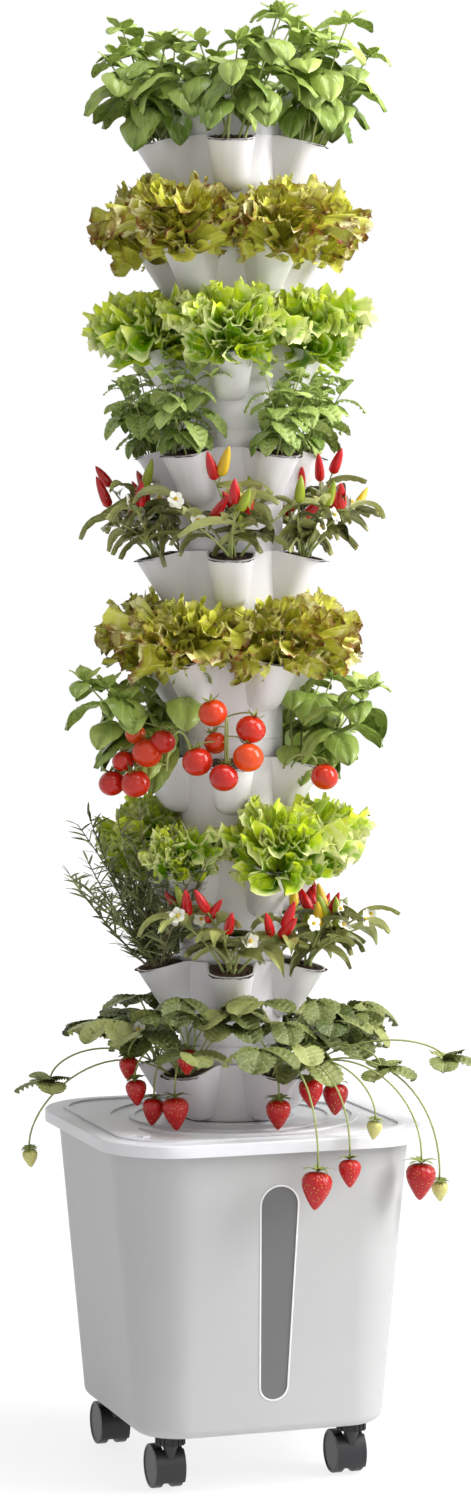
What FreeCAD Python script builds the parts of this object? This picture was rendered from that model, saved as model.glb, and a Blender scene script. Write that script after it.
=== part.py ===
import FreeCAD, Part
import math
import os
import Sketcher

# A ten-tier planter tower on a wheeled water reservoir, in millimetres.
# The origin is on the floor under the tower's axis, +Z is up and the level window faces -Y.
SIZES = {
    # Reservoir: a drafted tub with a rounded square outline
    "tank_clearance": 65,
    "tank_height": 334.7,
    "tank_top_width": 354,
    "tank_bottom_width": 292,
    "tank_bottom_corner": 52,
    "tank_wall": 3,
    "tank_foot_round": 12,
    "tank_rim_overhang": 8,
    "tank_rim_thickness": 3.5,
    # Level window in the front wall, a tapered slot with round ends
    "window_low_centre": 56,
    "window_high_centre": 262.7,
    "window_low_radius": 17.5,
    "window_high_radius": 23.2,
    "window_bezel": 1.8,
    "window_pane": 2.2,
    "window_recess": 0.6,
    "window_gap": 0.05,
    # Lid
    "lid_width": 380,
    "lid_corner": 87,
    "lid_plate": 3,
    "lid_skirt": 14,
    "lid_edge_round": 2.5,
    "ridge_height": 2,
    "ridge_width": 7,
    "ridge_ring_radius": 118,
    "ridge_outer_ring_radius": 146,
    "ridge_border": 21,
    "seat_gap": 0.3,
    # Socket in the lid that the tower stands in
    "socket_depth": 29,
    "socket_play": 3.9,
    "socket_wall": 3,
    "socket_collar": 11,
    "collar_rise": 1.5,
    "socket_hole_radius": 14,
    "drain_radius": 5,
    "drain_circle": 36,
    "gasket_height": 8,
    "gasket_proud": 0.4,
    # Lift-out cover of the refill opening
    "hatch_left": -170,
    "hatch_width": 37,
    "hatch_front": -130,
    "hatch_length": 180,
    "hatch_corner": 16,
    "hatch_plate": 2.4,
    "hatch_ledge": 5,
    "hatch_lip": 6,
    "hatch_lip_wall": 1.6,
    "hatch_notch_radius": 7,
    "fit_gap": 0.3,
    # Cable grommet in the lid
    "grommet_radius": 9,
    "grommet_flange": 13,
    "grommet_bore": 4,
    "grommet_place_x": 62,
    "grommet_place_y": 148,
    # Planter tier
    "tier_count": 10,
    "tier_pitch": 116.5,
    "tower_heading": -108.5,
    "tier_wall": 2.2,
    "skirt_radius": 59,
    "skirt_straight": 34,
    "rim_height": 96,
    "valley_radius": 64,
    "neck_rise": 20,
    "spigot_rise": 10,
    "spigot_inset": 2.5,
    "stack_gap": 0.2,
    "pocket_root": 46,
    "pocket_foot_height": 31.5,
    "pocket_foot_reach": 76,
    "pocket_foot_half": 17,
    "pocket_foot_nose": 15,
    "pocket_foot_round": 11,
    "pocket_mouth_reach": 118.8,
    "pocket_mouth_half": 28,
    "pocket_mouth_nose": 25,
    "mouth_corner": 64.5,
    "mouth_tilt": 13.3,
    "soil_below_rim": 13,
    "drip_slot_width": 14,
    "drip_slot_rise": 6,
    "drip_slot_above_soil": 3,
    "drain_slot_width": 9,
    "drain_slot_rise": 4,
    # Water path up the tower
    "riser_radius": 8,
    "riser_bore": 6.4,
    "riser_top_gap": 3,
    "spreader_depth": 9,
    "spreader_plate": 1.6,
    "spreader_hole": 2.5,
    "cap_rise": 24,
    "cap_side": 15,
    "cap_slope_run": 22,
    "cap_room": 1.2,
    "cap_wall": 2,
    # Submersible pump on the reservoir's floor
    "pump_length": 62,
    "pump_width": 46,
    "pump_height": 44,
    "pump_round": 6,
    "pump_foot": 5,
    "pump_foot_radius": 6,
    "nozzle_radius": 6.2,
    "nozzle_height": 14,
    # Twin-wheel casters
    "caster_spread": 108,
    "caster_trail": 22,
    "wheel_radius": 25,
    "wheel_width": 11.5,
    "wheel_dish": 1,
    "web_half": 5.5,
    "web_gap": 0.4,
    "hood_radius": 27.6,
    "hood_inner": 25.8,
    "hood_half_width": 17.4,
    "hood_ground_gap": 9,
    "stem_radius": 5.5,
    "stem_top_gap": 2,
    "boss_radius": 9,
    "boss_top": 52.5,
    "boss_tip": 27,
    "collar_radius": 17,
    "collar_height": 11,
    "collar_rib": 1.2,
    "axle_radius": 3,
    "running_gap": 0.05,
    # Plants
    "crown_radius": 11,
    "canopy_lift": 12,
    "canopy_centre": 108,
    "canopy_reach": 46,
    "canopy_half": 54,
    "canopy_height": 66,
    "chili_reach": 57,
    "chili_height": 46,
    "basil_height": 160,
    "rosemary_height": 96,
    "strawberry_height": 52,
    "stalk_radius": 1.2,
    "elbow_gap": 0.2,
    "pod_length": 30,
    "pod_radius": 5,
    "tomato_radius": 17,
    "berry_radius": 12,
    "berry_length": 31,
    "trefoil_radius": 25,
    "root_setback": 16,
    "knee_rise": 3,
}

POCKETS = 5
TIERS = SIZES["tier_count"]
DRAINS = 8
SCOOP_STEPS = 4
RIBS = 16
XY, XZ = "XY_Plane", "XZ_Plane"

doc = FreeCAD.newDocument("planter_tower")
sheet = doc.addObject("Spreadsheet::Sheet", "sizes")
for row, (alias, number) in enumerate(SIZES.items(), start=1):
    sheet.set(f"A{row}", alias)
    sheet.set(f"B{row}", str(number))
    sheet.setAlias(f"B{row}", alias)
doc.recompute()

nodes = {}


def size(alias):
    """The number that the sheet holds under one alias."""
    return float(getattr(sheet, alias))


def value(expression):
    """The number that an expression of the sheet gives now."""
    result = sheet.evalExpression(str(expression))
    return float(getattr(result, "Value", result))


def bind(thing, **expressions):
    """Ties properties to the sheet; a double underscore stands for the dot in Placement.Base.z."""
    for name, expression in expressions.items():
        thing.setExpression(name.replace("__", "."), str(expression))
    return thing


def node(thing, name):
    """Makes an object a sub-part, whose label is the name of its file."""
    thing.Label = name
    nodes[name] = thing
    return thing


def stand(thing, height="0", across="0", deep="0"):
    """Places an object by expressions."""
    return bind(thing, Placement__Base__x=across, Placement__Base__y=deep, Placement__Base__z=height)


# Sketches

def new_body(name):
    return doc.addObject("PartDesign::Body", name)


def new_sketch(body, name, plane=XY, lift="0"):
    """An empty sketch on one of the body's own planes, lifted along that plane's normal."""
    sketch = body.newObject("Sketcher::SketchObject", name)
    origin_plane = next(f for f in body.Origin.OriginFeatures if f.Role == plane)
    sketch.AttachmentSupport = (origin_plane, "")
    sketch.MapMode = "FlatFace"
    sketch.setExpression("AttachmentOffset.Base.z", str(lift))
    return sketch


def hold(sketch, kind, point, expression):
    """Holds a sketch point's distance from the origin along one axis."""
    number = value(expression)
    if abs(number) < 1e-9:
        axis = -2 if kind == "DistanceX" else -1
        sketch.addConstraint(Sketcher.Constraint("PointOnObject", point, 1, axis))
        return
    index = sketch.addConstraint(Sketcher.Constraint(kind, -1, 1, point, 1, number))
    sketch.setExpression(f"Constraints[{index}]", str(expression))


def outline(sketch, corners):
    """Adds a closed outline of straight sides, with a fillet at each corner that has a radius."""
    first = sketch.GeometryCount
    count = len(corners)
    places = [FreeCAD.Vector(value(c[0]), value(c[1]), 0) for c in corners]
    for i in range(count):
        sketch.addGeometry(Part.LineSegment(places[i], places[(i + 1) % count]))
    for i in range(count):
        after = first + (i + 1) % count
        sketch.addConstraint(Sketcher.Constraint("Coincident", first + i, 2, after, 1))
    for i, corner in enumerate(corners):
        hold(sketch, "DistanceX", first + i, corner[0])
        hold(sketch, "DistanceY", first + i, corner[1])
    for i, corner in enumerate(corners):
        if len(corner) == 3:
            arc = sketch.GeometryCount
            sketch.fillet(first + i, 1, value(corner[2]), True, True)
            index = sketch.addConstraint(Sketcher.Constraint("Radius", arc, value(corner[2])))
            sketch.setExpression(f"Constraints[{index}]", str(corner[2]))
    return sketch


def circle(sketch, radius, across="0", deep="0"):
    """Adds a circle whose centre is held from the origin."""
    index = sketch.GeometryCount
    centre = FreeCAD.Vector(value(across), value(deep), 0)
    sketch.addGeometry(Part.Circle(centre, FreeCAD.Vector(0, 0, 1), value(radius)))
    for kind, place in (("DistanceX", across), ("DistanceY", deep)):
        if abs(value(place)) < 1e-9:
            axis = -2 if kind == "DistanceX" else -1
            sketch.addConstraint(Sketcher.Constraint("PointOnObject", index, 3, axis))
        else:
            held = sketch.addConstraint(Sketcher.Constraint(kind, -1, 1, index, 3, value(place)))
            sketch.setExpression(f"Constraints[{held}]", str(place))
    held = sketch.addConstraint(Sketcher.Constraint("Radius", index, value(radius)))
    sketch.setExpression(f"Constraints[{held}]", str(radius))
    return sketch


def square(width, corner):
    """The corners of a rounded square about the origin."""
    half = f"({width}) / 2"
    return [(f"-{half}", f"-{half}", corner), (half, f"-{half}", corner),
            (half, half, corner), (f"-{half}", half, corner)]


def tapered_slot(sketch, inset):
    """Adds the window's outline, two arcs of unlike radius joined by their common tangents."""
    low = value("sizes.window_low_centre")
    high = value("sizes.window_high_centre")
    low_radius = value(f"sizes.window_low_radius - {inset}")
    high_radius = value(f"sizes.window_high_radius - {inset}")
    lean = math.asin((high_radius - low_radius) / (high - low))
    axis = FreeCAD.Vector(0, 0, 1)

    def touch(centre, radius, side):
        across = side * radius * math.cos(lean)
        return FreeCAD.Vector(across, centre - radius * math.sin(lean), 0)

    top = Part.Circle(FreeCAD.Vector(0, high, 0), axis, high_radius)
    foot = Part.Circle(FreeCAD.Vector(0, low, 0), axis, low_radius)
    sketch.addGeometry(Part.ArcOfCircle(top, -lean, math.pi + lean))
    sketch.addGeometry(Part.LineSegment(touch(high, high_radius, -1), touch(low, low_radius, -1)))
    sketch.addGeometry(Part.ArcOfCircle(foot, math.pi + lean, 2 * math.pi - lean))
    sketch.addGeometry(Part.LineSegment(touch(low, low_radius, 1), touch(high, high_radius, 1)))
    for one, its_end, other, other_end in ((0, 2, 1, 1), (1, 2, 2, 1), (2, 2, 3, 1), (3, 2, 0, 1)):
        sketch.addConstraint(Sketcher.Constraint("Tangent", one, its_end, other, other_end))
    for arc, centre, radius in ((0, "window_high_centre", "window_high_radius"),
                                (2, "window_low_centre", "window_low_radius")):
        sketch.addConstraint(Sketcher.Constraint("PointOnObject", arc, 3, -2))
        held = sketch.addConstraint(
            Sketcher.Constraint("DistanceY", -1, 1, arc, 3, size(centre)))
        sketch.setExpression(f"Constraints[{held}]", f"sizes.{centre}")
        held = sketch.addConstraint(
            Sketcher.Constraint("Radius", arc, value(f"sizes.{radius} - {inset}")))
        sketch.setExpression(f"Constraints[{held}]", f"sizes.{radius} - {inset}")
    return sketch


# Features

def pad(body, sketch, length, symmetric=False, down=False):
    feature = body.newObject("PartDesign::Pad", f"{sketch.Name}_pad")
    feature.Profile = sketch
    feature.Midplane = symmetric
    feature.Reversed = down
    sketch.Visibility = False
    return bind(feature, Length=length)


def pocket(body, sketch, length, symmetric=False, up=False):
    """Cuts a sketch downwards, or upwards along the sketch's normal, and proves that it cut."""
    doc.recompute()
    before = body.Shape.Volume
    feature = body.newObject("PartDesign::Pocket", f"{sketch.Name}_cut")
    feature.Profile = sketch
    feature.Midplane = symmetric
    feature.Reversed = up
    bind(feature, Length=length)
    doc.recompute()
    if body.Shape.Volume > before - 1e-3:
        raise RuntimeError(f"{feature.Label} cuts nothing")
    return feature


def turn(body, sketch):
    """Revolves a profile drawn in the XZ plane about the vertical axis."""
    feature = body.newObject("PartDesign::Revolution", f"{sketch.Name}_turn")
    feature.Profile = sketch
    feature.ReferenceAxis = (sketch, ["V_Axis"])
    feature.Angle = 360
    return feature


def loft(body, sections):
    feature = body.newObject("PartDesign::AdditiveLoft", f"{sections[0].Name}_loft")
    feature.Profile = sections[0]
    feature.Sections = sections[1:]
    feature.Ruled = True
    return feature


def fillet(body, radius, keep):
    """Rounds the edges of the body's tip that the test keeps."""
    doc.recompute()
    tip = body.Tip
    names = [f"Edge{i}" for i, edge in enumerate(tip.Shape.Edges, start=1) if keep(edge)]
    feature = body.newObject("PartDesign::Fillet", f"{body.Name}_round")
    feature.Base = (tip, names)
    return bind(feature, Radius=radius)


def flat_at(height):
    """A test for edges that lie wholly in one level plane."""
    level = value(height)

    def test(edge):
        box = edge.BoundBox
        return abs(box.ZMin - level) < 0.01 and abs(box.ZMax - level) < 0.01
    return test


def around(body, features, copies):
    """Repeats features evenly about the vertical axis."""
    pattern = body.newObject("PartDesign::PolarPattern", f"{body.Name}_ring")
    pattern.Originals = features
    z_axis = next(f for f in body.Origin.OriginFeatures if f.Role == "Z_Axis")
    pattern.Axis = (z_axis, [""])
    pattern.Angle = 360
    pattern.Occurrences = copies
    body.Tip = pattern
    return pattern


def primitive(kind, name, **expressions):
    return bind(doc.addObject(f"Part::{kind}", name), **expressions)


def combine(kind, name, base, tool):
    joined = doc.addObject(f"Part::{kind}", name)
    joined.Base = base
    joined.Tool = tool
    return joined


def fuse_all(name, members):
    joined = doc.addObject("Part::MultiFuse", name)
    joined.Shapes = members
    return joined


def group(name, members):
    """Several separate solids that share one node."""
    bundle = doc.addObject("Part::Compound", name)
    bundle.Links = members
    return bundle


# Heights that several pieces share

TANK_RIM = "(sizes.tank_clearance + sizes.tank_height)"
LID_TOP = f"({TANK_RIM} + sizes.seat_gap + sizes.lid_plate)"
TOWER_FOOT = f"({LID_TOP} - sizes.socket_depth)"
TOP_TIER = f"({TOWER_FOOT} + (sizes.tier_count - 1) * sizes.tier_pitch)"
LEDGE = "(sizes.rim_height + sizes.neck_rise)"
SPIGOT_TOP = f"({LEDGE} + sizes.spigot_rise)"
SPIGOT_RADIUS = "(sizes.skirt_radius - sizes.spigot_inset)"
SOIL_TOP = "(sizes.rim_height - sizes.soil_below_rim)"
PUMP_FLOOR = "(sizes.tank_clearance + sizes.tank_wall)"
NOZZLE_TOP = (f"({PUMP_FLOOR} + sizes.pump_foot + sizes.seat_gap + sizes.pump_height"
              " + sizes.nozzle_height)")


# Reservoir

TANK_LEAN = "(sizes.tank_top_width - sizes.tank_bottom_width) / 2 / sizes.tank_height"
TANK_TOP_CORNER = "(sizes.tank_bottom_corner + (sizes.tank_top_width - sizes.tank_bottom_width) / 2)"


def tub(name, low, high, inset):
    """A drafted rounded-square block between two heights, inset from the tub's outside."""
    body = new_body(name)
    foot = new_sketch(body, f"{name}_foot", lift=low)
    spread = f"({low}) * {TANK_LEAN} - ({inset})"
    width = f"sizes.tank_bottom_width + 2 * ({spread})"
    outline(foot, square(width, f"sizes.tank_bottom_corner + {spread}"))
    block = pad(body, foot, f"({high}) - ({low})")
    bind(block, TaperAngle=f"atan({TANK_LEAN})")
    fillet(body, f"sizes.tank_foot_round - ({inset})", flat_at(low))
    return body


def reservoir():
    outside = tub("tub_outside", "0", "sizes.tank_height", "0")
    rim = new_sketch(outside, "tub_rim", lift="sizes.tank_height - sizes.tank_rim_thickness")
    rim_width = "sizes.tank_top_width + 2 * sizes.tank_rim_overhang"
    outline(rim, square(rim_width, f"{TANK_TOP_CORNER} + sizes.tank_rim_overhang"))
    pad(outside, rim, "sizes.tank_rim_thickness")
    inside = tub("tub_inside", "sizes.tank_wall", "sizes.tank_height + 2", "sizes.tank_wall")
    shell = combine("Cut", "tub_shell", outside, inside)
    tank = combine("Cut", "tub_with_slot", shell, window_prism("slot", "0"))
    node(stand(tank, "sizes.tank_clearance"), "reservoir_tank")


def window_prism(name, inset):
    """The window's outline run through the front wall."""
    body = new_body(f"{name}_prism")
    sketch = tapered_slot(new_sketch(body, f"{name}_outline", XZ), inset)
    pad(body, sketch, "sizes.tank_top_width")
    return body


def wall_slab(name, recess, thickness):
    """A slab that leans with the tub's front wall, its face set back from the outside."""
    slab = primitive("Box", name, Length="sizes.window_high_radius * 4", Width=thickness,
                     Height="sizes.tank_height")
    slab.Placement = FreeCAD.Placement(FreeCAD.Vector(), FreeCAD.Rotation(FreeCAD.Vector(1, 0, 0), 5))
    slab.setExpression("Placement.Rotation.Angle", f"atan({TANK_LEAN})")
    stand(slab, "0", "-sizes.window_high_radius * 2", f"-sizes.tank_bottom_width / 2 + {recess}")
    return slab


def level_window():
    pane_inset = "(sizes.window_bezel + sizes.window_gap)"
    pane = combine("Common", "pane", wall_slab("pane_slab", "sizes.window_recess", "sizes.window_pane"),
                   window_prism("pane", pane_inset))
    node(stand(pane, "sizes.tank_clearance"), "level_window")
    frame = combine("Common", "bezel_block",
                    wall_slab("bezel_slab", "-sizes.window_recess",
                              "sizes.tank_wall + 2 * sizes.window_recess"),
                    window_prism("bezel_outer", "sizes.window_gap"))
    bezel = combine("Cut", "bezel", frame, window_prism("bezel_inner", "sizes.window_bezel"))
    node(stand(bezel, "sizes.tank_clearance"), "window_bezel")


def pump():
    housing = new_body("pump_block")
    base = new_sketch(housing, "pump_base")
    half_length = "sizes.pump_length / 2"
    half_width = "sizes.pump_width / 2"
    outline(base, [(f"-{half_length}", f"-{half_width}", "sizes.pump_round"),
                   (half_length, f"-{half_width}", "sizes.pump_round"),
                   (half_length, half_width, "sizes.pump_round"),
                   (f"-{half_length}", half_width, "sizes.pump_round")])
    pad(housing, base, "sizes.pump_height")
    fillet(housing, "sizes.pump_round / 2", flat_at("sizes.pump_height"))
    nozzle = new_sketch(housing, "pump_nozzle", lift="sizes.pump_height - 0.01")
    pad(housing, circle(nozzle, "sizes.nozzle_radius"), "sizes.nozzle_height + 0.01")
    pump_base = f"{PUMP_FLOOR} + sizes.pump_foot + sizes.seat_gap"
    node(stand(housing, pump_base), "pump_housing")

    screen = new_body("screen_block")
    plate = new_sketch(screen, "screen_outline", XZ, f"{half_width} + sizes.running_gap")
    reach = f"({half_length} - sizes.pump_round - 2)"
    outline(plate, [(f"-{reach}", "4", "2"), (reach, "4", "2"),
                    (reach, "sizes.pump_height - 8", "2"), (f"-{reach}", "sizes.pump_height - 8", "2")])
    pad(screen, plate, "3")
    slot = new_sketch(screen, "screen_slot", XZ, f"{half_width} - 1")
    outline(slot, [(f"-{reach} + 4", "8"), (f"-{reach} + 6.5", "8"),
                   (f"-{reach} + 6.5", "sizes.pump_height - 12"),
                   (f"-{reach} + 4", "sizes.pump_height - 12")])
    cut = pocket(screen, slot, "8", up=True)
    row = screen.newObject("PartDesign::LinearPattern", "screen_slots")
    row.Originals = [cut]
    x_axis = next(f for f in screen.Origin.OriginFeatures if f.Role == "X_Axis")
    row.Direction = (x_axis, [""])
    bind(row, Length=f"2 * {reach} - 11")
    row.Occurrences = 8
    screen.Tip = row
    node(stand(screen, pump_base), "pump_intake_screen")

    feet = []
    for i, (along, deep) in enumerate(((-1, -1), (1, -1), (1, 1), (-1, 1)), start=1):
        foot = primitive("Cone", f"suction_foot_{i}", Radius1="sizes.pump_foot_radius",
                         Radius2="sizes.pump_foot_radius / 2", Height="sizes.pump_foot")
        feet.append(stand(foot, f"{PUMP_FLOOR} + sizes.seat_gap / 2",
                          f"{along} * (sizes.pump_length / 2 - sizes.pump_round * 2)",
                          f"{deep} * (sizes.pump_width / 2 - sizes.pump_round * 1.5)"))
    node(group("feet", feet), "pump_suction_feet")


def riser():
    length = f"{TOP_TIER} + {SPIGOT_TOP} - sizes.riser_top_gap - ({NOZZLE_TOP} - 10)"
    tube = primitive("Cylinder", "riser_outside", Radius="sizes.riser_radius", Height=length)
    bore = primitive("Cylinder", "riser_inside", Radius="sizes.riser_bore", Height=f"{length} + 2")
    stand(bore, "-1")
    pipe = combine("Cut", "riser", tube, bore)
    node(stand(pipe, f"{NOZZLE_TOP} - 10"), "riser_pipe")


# Lid

def strip(inset):
    """The corners of the refill opening's outline, inset from the cover's edge."""
    left = f"sizes.hatch_left + ({inset})"
    right = f"sizes.hatch_left + sizes.hatch_width - ({inset})"
    front = f"sizes.hatch_front + ({inset})"
    back = f"sizes.hatch_front + sizes.hatch_length - ({inset})"
    corner = f"sizes.hatch_corner - ({inset})"
    return [(left, front, corner), (right, front, corner), (right, back, corner), (left, back, corner)]


def lid():
    body = new_body("lid_block")
    edge = new_sketch(body, "lid_edge")
    outline(edge, square("sizes.lid_width", "sizes.lid_corner"))
    pad(body, edge, "sizes.lid_skirt", down=True)
    fillet(body, "sizes.lid_edge_round", flat_at("0"))
    hollow = new_sketch(body, "lid_hollow", lift="-sizes.lid_plate")
    outline(hollow, square("sizes.lid_width - 2 * sizes.lid_plate", "sizes.lid_corner - sizes.lid_plate"))
    pocket(body, hollow, "sizes.lid_skirt")
    border = new_sketch(body, "ridge_border_line", lift="-0.01")
    outer = "(sizes.lid_width - 2 * sizes.ridge_border)"
    corner = "(sizes.lid_corner - sizes.ridge_border)"
    outline(border, square(outer, corner))
    outline(border, square(f"{outer} - 2 * sizes.ridge_width", f"{corner} - sizes.ridge_width"))
    pad(body, border, "sizes.ridge_height + 0.01")
    for name in ("ridge_ring", "ridge_outer_ring"):
        ring = new_sketch(body, f"{name}_line", lift="-0.01")
        circle(ring, f"sizes.{name}_radius")
        circle(ring, f"sizes.{name}_radius - sizes.ridge_width")
        pad(body, ring, "sizes.ridge_height + 0.01")
    socket = new_sketch(body, "socket_profile", XZ)
    inner = "(sizes.skirt_radius + sizes.socket_play)"
    outer = f"({inner} + sizes.socket_wall)"
    floor_low = "-(sizes.socket_depth + sizes.stack_gap + sizes.socket_wall)"
    outline(socket, [("0", floor_low), (outer, floor_low), (outer, "-1"),
                     (f"{inner} + sizes.socket_collar", "-1"),
                     (f"{inner} + sizes.socket_collar", "sizes.collar_rise", "1"),
                     ("0", "sizes.collar_rise")])
    turn(body, socket)
    cup = new_sketch(body, "socket_cup", lift="sizes.collar_rise")
    circle(cup, inner)
    pocket(body, cup, "sizes.collar_rise + sizes.socket_depth + sizes.stack_gap")
    centre = new_sketch(body, "socket_centre", lift="0")
    circle(centre, "sizes.socket_hole_radius")
    pocket(body, centre, "sizes.socket_depth + 2 * sizes.socket_wall")
    drain = new_sketch(body, "socket_drain", lift="0")
    circle(drain, "sizes.drain_radius", "sizes.drain_circle")
    cut = pocket(body, drain, "sizes.socket_depth + 2 * sizes.socket_wall")
    around(body, [cut], DRAINS)
    clear = new_sketch(body, "hatch_clearing", lift="sizes.ridge_height + 1")
    outline(clear, strip("-sizes.fit_gap"))
    pocket(body, clear, "sizes.ridge_height + 1")
    opening = new_sketch(body, "hatch_opening", lift="1")
    outline(opening, strip("sizes.hatch_ledge"))
    pocket(body, opening, "sizes.lid_plate + 2")
    cable = new_sketch(body, "grommet_opening", lift="sizes.ridge_height")
    circle(cable, "sizes.grommet_radius", "sizes.grommet_place_x", "sizes.grommet_place_y")
    pocket(body, cable, "sizes.ridge_height + sizes.lid_plate + 1")
    node(stand(body, LID_TOP), "tank_lid")


def hatch():
    body = new_body("hatch_block")
    plate = new_sketch(body, "hatch_outline", lift="sizes.stack_gap")
    outline(plate, strip("0"))
    pad(body, plate, "sizes.hatch_plate")
    fillet(body, "sizes.hatch_plate / 3", flat_at("sizes.stack_gap + sizes.hatch_plate"))
    lip = new_sketch(body, "hatch_lip_line", lift="sizes.stack_gap + 0.01")
    outline(lip, strip("sizes.hatch_ledge + sizes.fit_gap"))
    outline(lip, strip("sizes.hatch_ledge + sizes.fit_gap + sizes.hatch_lip_wall"))
    pad(body, lip, "sizes.hatch_lip", down=True)
    notch = new_sketch(body, "hatch_notch", lift="sizes.stack_gap + sizes.hatch_plate")
    circle(notch, "sizes.hatch_notch_radius", "sizes.hatch_left + sizes.hatch_width / 2",
           "sizes.hatch_front + sizes.hatch_ledge")
    pocket(body, notch, "sizes.hatch_plate / 2")
    node(stand(body, LID_TOP), "refill_hatch")


def lid_fittings():
    body = new_body("gasket_block")
    profile = new_sketch(body, "gasket_profile", XZ)
    inner = "sizes.skirt_radius + sizes.fit_gap"
    outer = "sizes.skirt_radius + sizes.socket_play - sizes.running_gap"
    top = "sizes.collar_rise + sizes.gasket_proud"
    outline(profile, [(inner, f"{top} - sizes.gasket_height"), (outer, f"{top} - sizes.gasket_height"),
                      (outer, top, "1.2"), (inner, top)])
    turn(body, profile)
    node(stand(body, LID_TOP), "base_gasket")

    body = new_body("grommet_block")
    profile = new_sketch(body, "grommet_profile", XZ)
    waist = "sizes.grommet_radius - sizes.running_gap"
    low = "-(sizes.lid_plate + sizes.seat_gap / 2)"
    outline(profile, [("sizes.grommet_bore", f"{low} - 2"), ("sizes.grommet_flange", f"{low} - 2"),
                      ("sizes.grommet_flange", low), (waist, low), (waist, "0.1"),
                      ("sizes.grommet_flange", "0.1"), ("sizes.grommet_flange", "2.6", "1.5"),
                      ("sizes.grommet_bore", "2.6")])
    turn(body, profile)
    node(stand(body, LID_TOP, "sizes.grommet_place_x", "sizes.grommet_place_y"), "cable_grommet")


# Planter tier

def along_pocket(foot, mouth, height):
    """A pocket size at a height above the tier's lower edge, straight from foot to rim plane."""
    return (f"(sizes.{foot} + (sizes.{mouth} - sizes.{foot}) * (({height}) - sizes.pocket_foot_height)"
            " / (sizes.rim_height - sizes.pocket_foot_height))")


def pocket_section(body, name, height, inset, back):
    """One level section of a pocket: a blunt U that points along +X."""
    reach = f"({along_pocket('pocket_foot_reach', 'pocket_mouth_reach', height)} - ({inset}))"
    half = f"({along_pocket('pocket_foot_half', 'pocket_mouth_half', height)} - ({inset}))"
    nose = f"({along_pocket('pocket_foot_nose', 'pocket_mouth_nose', height)} - ({inset}))"
    section = new_sketch(body, name, lift=height)
    outline(section, [(back, f"-{half}"), (reach, f"-{half}", nose), (reach, half, nose), (back, half)])
    return section


def pocket_loft(body, low, high, inset, back="sizes.pocket_root"):
    """A pocket, or what fills one: a loft whose lowest sections round the foot like a scoop."""
    round_radius = f"(sizes.pocket_foot_round - ({inset}))"
    sections = []
    for step in range(SCOOP_STEPS + 1):
        slope = f"{step} * 90 / {SCOOP_STEPS}"
        height = f"{low} + {round_radius} * (1 - cos({slope}))"
        drawn_in = f"{inset} + {round_radius} * (1 - sin({slope}))"
        sections.append(pocket_section(body, f"{body.Name}_scoop_{step}", height, drawn_in, back))
    sections.append(pocket_section(body, f"{body.Name}_mouth", high, inset, back))
    return loft(body, sections)


def mouth_cut(body):
    """Slants the pocket's mouth down towards its tip."""
    wedge = new_sketch(body, "mouth_wedge", XZ)
    far = "sizes.pocket_mouth_reach + 5"
    drop = f"({far} - sizes.mouth_corner) * tan(sizes.mouth_tilt)"
    outline(wedge, [("sizes.mouth_corner", "sizes.rim_height"),
                    (far, f"sizes.rim_height - {drop}"),
                    (far, "sizes.rim_height + 5"), ("sizes.mouth_corner", "sizes.rim_height + 5")])
    return pocket(body, wedge, "sizes.pocket_mouth_half * 3", symmetric=True)


def column_slot(body, name, width, low, rise):
    """A level slot through the column's wall, between the water path and one pocket."""
    line = new_sketch(body, name, XZ)
    inside = "(sizes.skirt_radius - 2 * sizes.tier_wall)"
    outside = "(sizes.skirt_radius + sizes.tier_wall)"
    top = f"{low} + {rise}"
    outline(line, [(inside, low), (outside, low), (outside, top), (inside, top)])
    return pocket(body, line, width, symmetric=True)


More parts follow.
